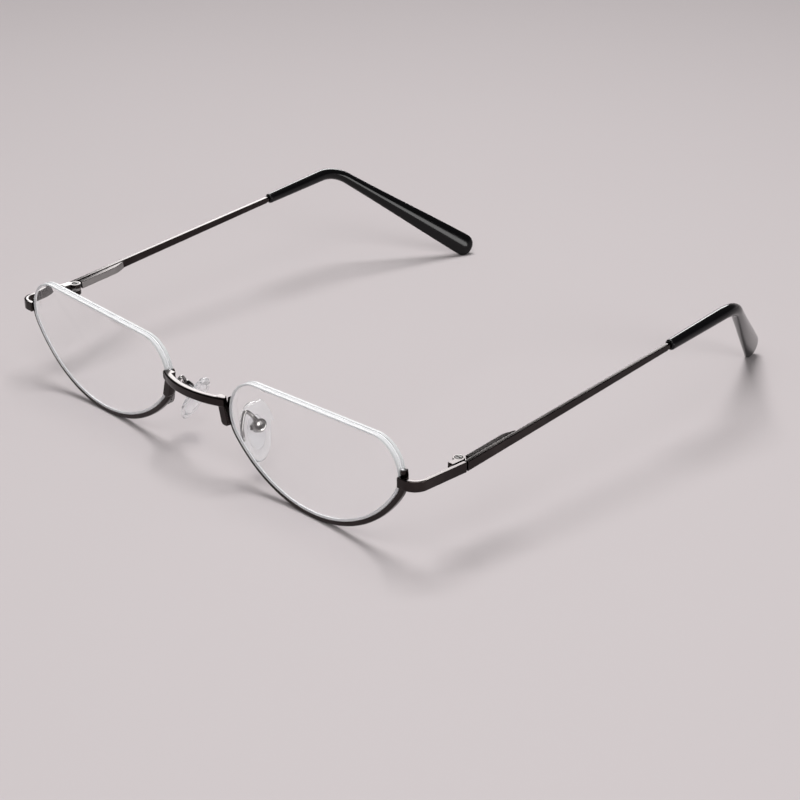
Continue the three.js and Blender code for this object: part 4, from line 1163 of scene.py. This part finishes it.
def insert_shape(context):
    """Stiff plate in the back of the pad, with the tab that the screw holds."""
    pad = sizes(context, "pad")
    back = -pad.tab_length
    face = back - pad.plate
    half = pad.tab_thickness / 2
    trims = ((back, PLATE_EDGE), (back - PLATE_EDGE, 0), (face + PLATE_EDGE, 0), (face, PLATE_EDGE))
    plate = bmesh.new()
    sweep(plate, [
        oval(x, pad.plate_width - 2 * trim, pad.plate_height - 2 * trim, pad.pad_drop)
        for x, trim in trims], 40)
    tab = block((back - pad.plate / 2, -half, -pad.tab_radius), (0, half, pad.tab_radius))
    whole = combine(seal(plate), "UNION", tab)
    whole = combine(whole, "UNION", pin(2 * pad.tab_radius, -half, half, ALONG_Y))
    return combine(whole, "DIFFERENCE", pad_bore(context, pad.tab_thickness))


def box_shape(context):
    """Round cup with rounded rims, a dished back, a slot for the tab and a bore for the screw."""
    pad = sizes(context, "pad")
    outward = Matrix.Rotation(math.pi / 2, 4, "Y")
    radius = pad.box / 2
    floor = pad.tab_radius + pad.tab_gap
    slot_half = pad.tab_thickness / 2 + pad.tab_gap
    far = floor + pad.box_back
    profile = [(0, -pad.box_lip)]
    profile += [(radius - inwards, in_from - pad.box_lip) for inwards, in_from in BOX_LIP]
    profile += [(radius - inwards, far - in_from) for inwards, in_from in BOX_BACK]
    profile.append((0, profile[-1][1]))
    reach = 2 * radius
    cup = combine(turned(profile, outward, 40), "DIFFERENCE", block(
        (-reach, -slot_half, -reach), (floor, slot_half, reach)))
    return combine(cup, "DIFFERENCE", pad_bore(context, reach))


class GLASSES_OT_pad_arms(bpy.types.Operator):
    """Build the two pad arms"""

    bl_idname = "glasses.pad_arms"
    bl_label = "Pad arms"

    def execute(self, context):
        add_pair(arm_shape(context), "pad_arm", front_matrix(context), "front", "steel",
                 finish(context, "polished_steel"))
        return {"FINISHED"}


class GLASSES_OT_nose_pads(bpy.types.Operator):
    """Build the nose pads with their boxes, screws and plates"""

    bl_idname = "glasses.nose_pads"
    bl_label = "Nose pads"

    def execute(self, context):
        pad = sizes(context, "pad")
        hinge = sizes(context, "hinge")
        place = front_matrix(context) @ pad_matrix(context)
        seat = pad.box / 2 + hinge.pin_gap
        screw = screw_shape(-pad.box / 2, seat, seat + pad.head_height, pad.screw, pad.screw_head, hinge,
                            Matrix.Rotation(math.pi / 2, 4, "X"))
        add_pair(box_shape(context), "pad_box", place, "front", "steel", finish(context, "polished_steel"))
        add_pair(screw, "pad_screw", place, "front", "steel", finish(context, "screw_steel"))
        add_pair(insert_shape(context), "pad_insert", place, "pad_{side}", "nylon",
                 finish(context, "clear_nylon"))
        add_pair(pad_shape(context), "nose_pad", place, "pad_{side}", "silicone", finish(context, "silicone"))
        return {"FINISHED"}


# Finishes

class Value:
    """Output of a node, with which sums can be written: each adds a Math node."""

    def __init__(self, maker, socket):
        self.maker = maker
        self.socket = socket

    def math(self, operation, a, b):
        return self.maker.node("ShaderNodeMath", {"operation": operation}, {0: a, 1: b})

    def __add__(self, other):
        return self.math("ADD", self, other)

    def __radd__(self, other):
        return self.math("ADD", other, self)

    def __sub__(self, other):
        return self.math("SUBTRACT", self, other)

    def __rsub__(self, other):
        return self.math("SUBTRACT", other, self)

    def __mul__(self, other):
        return self.math("MULTIPLY", self, other)

    def __rmul__(self, other):
        return self.math("MULTIPLY", other, self)


class Finish:
    """A material, world or other node tree that is being made."""

    def __init__(self, tree):
        self.tree = tree
        tree.nodes.clear()

    def node(self, kind, settings=None, values=None, out=0):
        """Add a node: its settings first, then the values or links of its sockets."""
        made = self.tree.nodes.new(kind)
        for key, value in (settings or {}).items():
            if key == "stops":
                for element, (place, level) in zip(made.color_ramp.elements, value):
                    element.position = place
                    element.color = (level, level, level, 1.0)
            else:
                setattr(made, key, value)
        for key, value in (values or {}).items():
            if isinstance(value, Value):
                self.tree.links.new(value.socket, made.inputs[key])
            else:
                made.inputs[key].default_value = value
        return Value(self, made.outputs[out]) if made.outputs else made

    def place(self, scale=(1.0, 1.0, 1.0)):
        """Object coordinates, stretched."""
        at = self.node("ShaderNodeTexCoord", out="Object")
        return self.node("ShaderNodeMapping", values={"Vector": at, "Scale": scale})

    def noise(self, at, scale, detail=3.0):
        """Cloudy values round 0.5, at a number of clouds per metre."""
        return self.node("ShaderNodeTexNoise", values={"Vector": at, "Scale": scale, "Detail": detail})

    def ramp(self, value, low, high):
        """Value stretched from between two stops to 0 and 1."""
        return self.node("ShaderNodeValToRGB", {"stops": ((low, 0.0), (high, 1.0))}, {"Fac": value})

    def blend(self, share, a, b):
        """Colour between two colours."""
        return self.node("ShaderNodeMix", {"data_type": "RGBA"}, {0: share, 6: a, 7: b}, out=2)

    def bump(self, height, depth, strength):
        """Normal from a height, with its depth in metres."""
        return self.node("ShaderNodeBump", values={"Height": height, "Distance": depth, "Strength": strength})

    def principled(self, values):
        """Principled shader with some of its sockets set or linked."""
        return self.node("ShaderNodeBsdfPrincipled", values=values)

    def surface(self, shader):
        """Shader that the material ends in."""
        self.node("ShaderNodeOutputMaterial", values={"Surface": shader})


def shaded(tone, factor):
    """A colour made darker or lighter."""
    return [factor * c for c in tone[:3]] + [1.0]


def gunmetal_finish(make, colours):
    """Glossy dark plating: faint clouds of polish, fine grain and hairline marks along the bars."""
    clouds = make.noise(make.place(), 160.0, 4.0)
    grain = make.noise(make.place(), 5200.0, 2.0)
    hairlines = make.noise(make.place((9000.0, 260.0, 9000.0)), 1.0, 2.0)
    handled = make.ramp(clouds, 0.42, 0.72)
    make.surface(make.principled({
        "Base Color": make.blend(handled * 0.8, colours.gunmetal, colours.gunmetal_worn),
        "Metallic": 1.0,
        "Roughness": 0.08 + clouds * 0.07 + hairlines * 0.06,
        "Normal": make.bump(grain * 0.6 + hairlines * 0.4, 3e-6, 0.12)}))


def steel_finish(make, colours):
    """Bright steel, brushed along the temples."""
    brushed = make.noise(make.place((12000.0, 420.0, 12000.0)), 1.0, 3.0)
    clouds = make.noise(make.place(), 420.0)
    shade = make.blend(clouds * 0.5, colours.steel, shaded(colours.steel, 0.72))
    make.surface(make.principled({
        "Base Color": shade,
        "Metallic": 1.0,
        "Roughness": 0.32 + brushed * 0.16,
        "Normal": make.bump(brushed, 5e-6, 0.3)}))


def screw_steel_finish(make, colours):
    """Dull dark steel of the screws, with turning marks."""
    marks = make.noise(make.place((7000.0, 7000.0, 900.0)), 1.0, 3.0)
    tone = make.blend(marks * 0.6, colours.screw, shaded(colours.screw, 0.6))
    make.surface(make.principled({
        "Base Color": tone,
        "Metallic": 1.0,
        "Roughness": 0.42 + marks * 0.16,
        "Normal": make.bump(marks, 5e-6, 0.25)}))


def polished_steel_finish(make, colours):
    """Steel wire, polished by hand."""
    clouds = make.noise(make.place(), 900.0)
    make.surface(make.principled({
        "Base Color": make.blend(clouds * 0.6, colours.steel, shaded(colours.steel, 0.6)),
        "Metallic": 1.0,
        "Roughness": 0.06 + clouds * 0.08}))


def let_lamps_through(make, shader):
    """Clear stuff that keeps its looks but neither darkens nor brightens the floor."""
    shadow = make.node("ShaderNodeLightPath", out="Is Shadow Ray")
    bounce = make.node("ShaderNodeLightPath", out="Is Diffuse Ray")
    clear = make.node("ShaderNodeBsdfTransparent", values={"Color": CLEAR_TINT})
    return make.node("ShaderNodeMixShader", values={0: shadow + bounce, 1: shader, 2: clear})


def clear_lens_finish(make, colours):
    """Polished lens plastic, clear right through."""
    glass = make.principled({
        "Base Color": colours.lens,
        "Roughness": 0.0,
        "IOR": 1.5,
        "Transmission Weight": 1.0})
    make.surface(let_lamps_through(make, glass))


def lens_edge_finish(make, colours):
    """Ground and half polished edge: milky, with fine marks from the wheel."""
    marks = make.noise(make.place((2600.0, 9000.0, 2600.0)), 1.0, 3.0)
    clouds = make.noise(make.place(), 300.0)
    tone = make.blend(clouds * 0.3, colours.lens_edge, shaded(colours.lens_edge, 0.93))
    ground = make.principled({
        "Base Color": tone,
        "Roughness": 0.34 + marks * 0.2,
        "IOR": 1.5,
        "Specular IOR Level": 0.12,
        "Transmission Weight": 0.3,
        "Normal": make.bump(marks, 8e-6, 0.3)})
    make.surface(let_lamps_through(make, ground))


def nylon_finish(make, colours):
    """Drawn nylon, slightly cloudy."""
    clouds = make.noise(make.place(), 1500.0)
    tone = make.blend(clouds * 0.5, colours.nylon, shaded(colours.nylon, 0.9))
    make.surface(make.principled({
        "Base Color": tone,
        "Roughness": 0.3 + clouds * 0.14,
        "Normal": make.bump(clouds, 6e-6, 0.3)}))


def clear_nylon_finish(make, colours):
    """Clear moulded nylon with faint flow marks."""
    flow = make.noise(make.place(), 700.0)
    moulded = make.principled({
        "Base Color": colours.silicone,
        "Roughness": 0.08 + flow * 0.1,
        "IOR": 1.32,
        "Transmission Weight": 0.9})
    make.surface(let_lamps_through(make, moulded))


def silicone_finish(make, colours):
    """Clear soft silicone with a satin skin."""
    skin = make.noise(make.place(), 2400.0, 4.0)
    clouds = make.noise(make.place(), 260.0)
    soft = make.principled({
        "Base Color": colours.silicone,
        "Roughness": 0.03 + clouds * 0.07,
        "IOR": 1.3,
        "Transmission Weight": 0.84,
        "Normal": make.bump(skin, 8e-6, 0.35)})
    make.surface(let_lamps_through(make, soft))


def black_acetate_finish(make, colours):
    """Glossy black, with faint waves from tumbling and a little dull grain."""
    waves = make.noise(make.place(), 420.0, 2.0)
    grain = make.noise(make.place(), 6500.0, 2.0)
    tone = make.blend(waves * 0.6, colours.acetate, shaded(colours.acetate, 2.0))
    make.surface(make.principled({
        "Base Color": tone,
        "Roughness": 0.09 + waves * 0.07,
        "IOR": 1.33,
        "Normal": make.bump(grain * 0.4 + waves * 0.6, 6e-6, 0.25)}))


FINISHES = {
    "gunmetal": gunmetal_finish,
    "steel": steel_finish,
    "screw_steel": screw_steel_finish,
    "polished_steel": polished_steel_finish,
    "clear_lens": clear_lens_finish,
    "lens_edge": lens_edge_finish,
    "nylon": nylon_finish,
    "clear_nylon": clear_nylon_finish,
    "silicone": silicone_finish,
    "black_acetate": black_acetate_finish,
}


def new_material(name):
    """Empty material."""
    material = bpy.data.materials.new(f"finish_{name}")
    material.use_nodes = True
    return material


def finish(context, name):
    """The material of that name, made when it is first needed."""
    material = bpy.data.materials.get(f"finish_{name}")
    if material is None:
        material = new_material(name)
        FINISHES[name](Finish(material.node_tree), sizes(context, "finish"))
    return material


class GLASSES_OT_hidden_pieces(bpy.types.Operator):
    """Give the pieces that stay inside the rims and housings their finishes"""

    bl_idname = "glasses.hidden_pieces"
    bl_label = "Hidden pieces"

    def execute(self, context):
        kept = {"rim_liner": "nylon", "hinge_spring": "steel", "spring_stop": "steel"}
        for name, material in kept.items():
            for side in SIDES:
                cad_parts[f"{name}_{side}"].material_slots[0].material = finish(context, material)
        return {"FINISHED"}


# Stage

def add_floor(settings):
    """Wide pale floor with a faint grain."""
    bm = bmesh.new()
    bmesh.ops.create_circle(bm, cap_ends=True, segments=96, radius=FLOOR_RADIUS)
    floor = put_in_scene("floor", as_mesh(bm, "floor"))
    bm.free()
    material = new_material("floor")
    make = Finish(material.node_tree)
    clouds = make.noise(make.place(), 9.0, 2.0)
    tone = make.blend(clouds * 0.3, settings.floor, shaded(settings.floor, 0.95))
    make.surface(make.principled({
        "Base Color": tone, "Roughness": 0.85, "Specular IOR Level": 0.0}))
    floor.data.materials.append(material)


def add_world(settings):
    """Even light from all round, and a pale backdrop for the camera and for what metal and glass show."""
    world = bpy.data.worlds.new("studio")
    world.use_nodes = True
    bpy.context.scene.world = world
    make = Finish(world.node_tree)
    seen = [make.node("ShaderNodeLightPath", out=name) for name in (
        "Is Camera Ray", "Is Glossy Ray", "Is Transmission Ray")]
    shown = make.node("ShaderNodeMath", {"operation": "MINIMUM"}, {0: seen[0] + seen[1] + seen[2], 1: 1.0})
    light = make.node("ShaderNodeBackground", values={"Color": DOME_TINT, "Strength": settings.dome})
    towards = make.node("ShaderNodeTexCoord", out="Generated")
    height = make.node("ShaderNodeSeparateXYZ", values={0: towards}, out="Z")
    tone = make.blend(make.ramp(height, 0.05, 0.3), settings.backdrop, settings.ceiling)
    backdrop = make.node("ShaderNodeBackground", values={"Color": tone, "Strength": 1.0})
    both = make.node("ShaderNodeMixShader", values={0: shown, 1: light, 2: backdrop})
    make.node("ShaderNodeOutputWorld", values={"Surface": both})


def add_lamp(name, power, width, depth, place, diffuse=True):
    """Soft lamp that faces the glasses. A lamp that isn't diffuse only shows in gloss."""
    lamp = bpy.data.lights.new(name, "AREA")
    lamp.shape = "RECTANGLE"
    lamp.size = width * MM
    lamp.size_y = depth * MM
    lamp.energy = power
    lamp.color = LAMP_TINT
    holder = put_in_scene(name, lamp)
    holder.location = place
    holder.rotation_euler = (-place).to_track_quat("-Z", "Y").to_euler()
    holder.visible_camera = False
    holder.visible_diffuse = diffuse
    holder.visible_transmission = False


def add_camera(settings):
    """Camera at the photograph's viewing angle."""
    camera = bpy.data.cameras.new("camera")
    camera.lens = settings.focal
    camera.sensor_width = 36.0
    camera.clip_start = 0.01
    holder = put_in_scene("camera", camera)
    back = Vector((
        math.sin(settings.azimuth) * math.cos(settings.elevation),
        -math.cos(settings.azimuth) * math.cos(settings.elevation), math.sin(settings.elevation)))
    holder.location = Vector(LOOKED_AT) + back * settings.distance * MM
    holder.rotation_euler = (-back).to_track_quat("-Z", "Y").to_euler()
    bpy.context.scene.camera = holder


class GLASSES_OT_stage(bpy.types.Operator):
    """Set up the floor, the light and the camera"""

    bl_idname = "glasses.stage"
    bl_label = "Stage"

    def execute(self, context):
        settings = sizes(context, "stage")
        context.scene.view_settings.view_transform = "Standard"
        add_floor(settings)
        add_world(settings)
        overhead = Vector((*OVERHEAD_LAMP_PLACE, settings.lamp_height * MM))
        add_lamp("overhead_lamp", settings.lamp, settings.lamp_size, settings.lamp_size, overhead)
        add_lamp("back_lamp", settings.back_lamp, settings.back_lamp_width, settings.back_lamp_depth,
                 Vector(BACK_LAMP_PLACE), diffuse=False)
        add_lamp("side_lamp", settings.side_lamp, settings.side_lamp_size, settings.side_lamp_size,
                 Vector(SIDE_LAMP_PLACE))
        add_lamp("fill_lamp", settings.fill_lamp, settings.fill_lamp_size, settings.fill_lamp_size,
                 Vector(FILL_LAMP_PLACE))
        add_camera(settings)
        return {"FINISHED"}


OPERATORS = (
    GLASSES_OT_stage,
    GLASSES_OT_lenses,
    GLASSES_OT_rims,
    GLASSES_OT_bridge,
    GLASSES_OT_endpieces,
    GLASSES_OT_hinges,
    GLASSES_OT_temples,
    GLASSES_OT_temple_tips,
    GLASSES_OT_pad_arms,
    GLASSES_OT_nose_pads,
    GLASSES_OT_hidden_pieces,
)


class GLASSES_PT_panel(bpy.types.Panel):
    """Lists the steps that build the glasses, and their settings"""

    bl_idname = "GLASSES_PT_panel"
    bl_label = "Half-moon glasses"
    bl_space_type = "VIEW_3D"
    bl_region_type = "UI"
    bl_category = "Glasses"

    def draw(self, context):
        settings = context.scene.reading_glasses
        for operator in OPERATORS:
            self.layout.operator(operator.bl_idname)
        for group in type(settings).__annotations__:
            box = self.layout.box()
            box.label(text=group.capitalize())
            for key in type(getattr(settings, group)).__annotations__:
                box.prop(getattr(settings, group), key)


CLASSES = (
    GlassesLensSizes,
    GlassesFrontSizes,
    GlassesTempleSizes,
    GlassesHingeSizes,
    GlassesPadSizes,
    GlassesFinishes,
    GlassesStageSettings,
    GlassesSettings,
) + OPERATORS + (GLASSES_PT_panel,)


def register():
    for cls in CLASSES:
        bpy.utils.register_class(cls)
    bpy.types.Scene.reading_glasses = PointerProperty(type=GlassesSettings)


def unregister():
    del bpy.types.Scene.reading_glasses
    for cls in reversed(CLASSES):
        bpy.utils.unregister_class(cls)


def main():
    register()
    bpy.ops.glasses.stage()
    bpy.ops.glasses.lenses()
    bpy.ops.glasses.rims()
    bpy.ops.glasses.bridge()
    bpy.ops.glasses.endpieces()
    bpy.ops.glasses.hinges()
    bpy.ops.glasses.temples()
    bpy.ops.glasses.temple_tips()
    bpy.ops.glasses.pad_arms()
    bpy.ops.glasses.nose_pads()
    bpy.ops.glasses.hidden_pieces()


if __name__ == "__main__":
    main()
